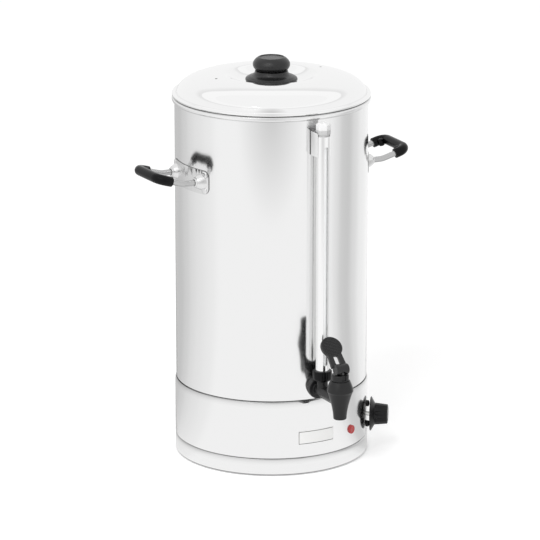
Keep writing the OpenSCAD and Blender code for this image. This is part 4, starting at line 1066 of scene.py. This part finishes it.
dial = spun("dial_knob", [(0, knob_back), (dial_r - 0.3, knob_back), (dial_r, knob_back + 0.3),
                          (dial_r, knob_back + knob_rim_t - 0.3), (dial_r - 0.5, knob_back + knob_rim_t),
                          (grip_r + 0.9, grip_foot - 0.3), (grip_r, grip_foot + 0.4),
                          (grip_r - 1.7, grip_foot + grip_h - 1), (grip_r - 2, grip_foot + grip_h - 0.4),
                          (grip_r - 2.6, grip_foot + grip_h), (grip_r - 4.4, grip_foot + grip_h),
                          (grip_r - 4.8, grip_foot + grip_h - 0.5), (0, grip_foot + grip_h - 0.5)], 144)
for i in range(flutes_n):
    flute = spun("flute", arc((0, grip_foot + 3.8), flute_r, -90, 0, 8)
                 + [(flute_r, grip_foot + 24), (0, grip_foot + 24)], 24)
    angle = i * math.tau / flutes_n
    flute.location = (flute_at_r * math.cos(angle) * mm, flute_at_r * math.sin(angle) * mm, 0)
    cut(dial, flute)
soften(dial, 0.25)
on_wall(dial, thermostat_az, thermostat_z)
smooth(dial, 35)
fit(dial, "thermostat_dial", "black_plastic", dial_black, "thermostat_knob")


# ---- Indicator lamp and plate ----
# A red push-fit lens with a rounded edge covers the neon lamp, between the tap and the thermostat. A thin
# blank white plate with a fine border is glued to the skirt below the tap.
lamp_az = math.radians(27.5)
lamp_z = 48
lens_r = 6
lens = spun("lamp_lens", [(0, skirt_r - 1), (lens_r, skirt_r - 1), (lens_r, skirt_r + 1.4)]
            + sweep_of((lens_r, skirt_r + 1.4), (lens_r - 0.1, skirt_r + 2.1), (lens_r - 0.8, skirt_r + 2.6),
                       (lens_r - 1.6, skirt_r + 2.6), 6)[1:]
            + [(lens_r - 2.2, skirt_r + 2.4), (0, skirt_r + 2.5)], 64)
on_wall(lens, lamp_az, lamp_z)
smooth(lens, 35)
lamp_red = grained("lamp_red", (0.62, 0.035, 0.035), 0.0, 1, (0.16, 0.26), 0.004, others=[
    ("Roughness", 0.2), ("Transmission Weight", 0.25), ("Coat Weight", 0.4)])
fit(lens, "urn", "red_lens", lamp_red, "indicator_lens")

label_half = math.radians(11.5)
label_low, label_high = 42.75, 61.25
label_t = 0.4
label_margin, label_border = 0.5, 0.75
label_r = skirt_r + label_t
label = spun("blank_plate", [(skirt_r, label_low), (label_r, label_low), (label_r, label_high),
                             (skirt_r, label_high), (skirt_r, label_low)], 24, 2 * label_half)
closed(label)
label.rotation_euler = (0, 0, -math.pi / 2 + label_half)
settle(label)
blank_white = grained("blank_white", (0.9, 0.9, 0.89), 0.0, 3, (0.26, 0.34), 0.002,
                      others=[("Roughness", 0.3)])
border_grey = grained("border_grey", (0.015, 0.015, 0.015), 0.0, 3, (0.36, 0.44), 0.002,
                      others=[("Roughness", 0.4)])
fit(label, "urn", "label_blank", blank_white, "label_plate")
label.data.materials.append(border_grey)

# its outer face is inset twice: a white margin, then the border line
pick(label, lambda face: abs(face.normal.z) < 0.3
     and math.hypot(face.center.x, face.center.y) > (skirt_r + label_t / 2) * mm)
bpy.ops.mesh.inset(thickness=label_margin * mm)
bpy.ops.object.mode_set(mode="OBJECT")
faces_before = len(label.data.polygons)
bpy.ops.object.mode_set(mode="EDIT")
bpy.ops.mesh.inset(thickness=label_border * mm)
put_down()
for face in label.data.polygons[faces_before:]:
    face.material_index = 1


# ---- Cord entry ----
# A black rubbery bush at the back of the skirt takes the supply cord, which isn't part of this object.
# It is pushed in from outside up to its flange, and tapers to the cord.
entry_r = 3.75
entry_z = 38
flange_out = skirt_r + 2.4
bush_out = skirt_r + 10
bush = spun("cord_bush", [(entry_r, skirt_r - 9), (7.9, skirt_r - 9), (7.9, skirt_r - 0.5),
                          (11, skirt_r - 0.5), (11, flange_out), (10.4, flange_out + 0.6),
                          (9, flange_out + 0.7), (6.9, bush_out - 0.6), (6.3, bush_out),
                          (entry_r + 0.5, bush_out), (entry_r, bush_out - 0.5), (entry_r, skirt_r - 9)], 64)
on_wall(bush, math.pi, entry_z)
smooth(bush, 35)
fit(bush, "urn", "black_plastic", grip_black, "cord_entry_bush")


# ---- Inside and underneath ----
# What only shows with the lid off or from below keeps its plain shape: bought-in heater, thermostat,
# terminals, seals and screws, each in its own material.
brass = grained("brass", (0.68, 0.5, 0.22), 1.0, 4, (0.22, 0.38), 0.01)
copper = grained("copper", (0.72, 0.38, 0.24), 1.0, 4, (0.2, 0.36), 0.01)
sheath = grained("element_sheath", (0.42, 0.41, 0.4), 1.0, 6, (0.25, 0.42), 0.01)
silicone = grained("silicone", (0.55, 0.52, 0.5), 0.0, 3, (0.45, 0.6), 0.01)
rubber = grained("rubber", (0.03, 0.03, 0.03), 0.0, 2, (0.55, 0.75), 0.01)
ceramic = grained("natural_moulding", (0.68, 0.66, 0.6), 0.0, 3, (0.35, 0.5), 0.01)
black_moulding = grained("black_moulding", (0.03, 0.03, 0.03), 0.0, 3, (0.3, 0.45), 0.01)
insulation = grained("lead_insulation", (0.08, 0.14, 0.4), 0.0, 4, (0.4, 0.5), 0.01)
inner_finish = {
    plain_steel: ("lid_knob_screw", "tie_bolt", "tap_lock_nut", "valve_spring", "foot_screws",
                  "sensor_bracket", "thermostat_spindle", "terminal_screws"),
    dark_steel: ("lever_pin",),
    handle_steel: ("base_plate",),
    brass: ("element_nuts", "earth_stud"),
    copper: ("thermostat_probe", "thermostat_capillary"),
    sheath: ("heating_element",),
    silicone: ("gauge_seal", "tap_inner_seal", "element_seals", "seat_cup"),
    rubber: ("rubber_feet", "tap_outer_seal"),
    ceramic: ("thermostat_body", "terminal_block"),
    black_moulding: ("dry_boil_cutout", "indicator_body", "valve_stem"),
    insulation: ("inner_leads",),
}
for finish, nodes in inner_finish.items():
    for node in nodes:
        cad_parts[node].data.materials.clear()
        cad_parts[node].data.materials.append(finish)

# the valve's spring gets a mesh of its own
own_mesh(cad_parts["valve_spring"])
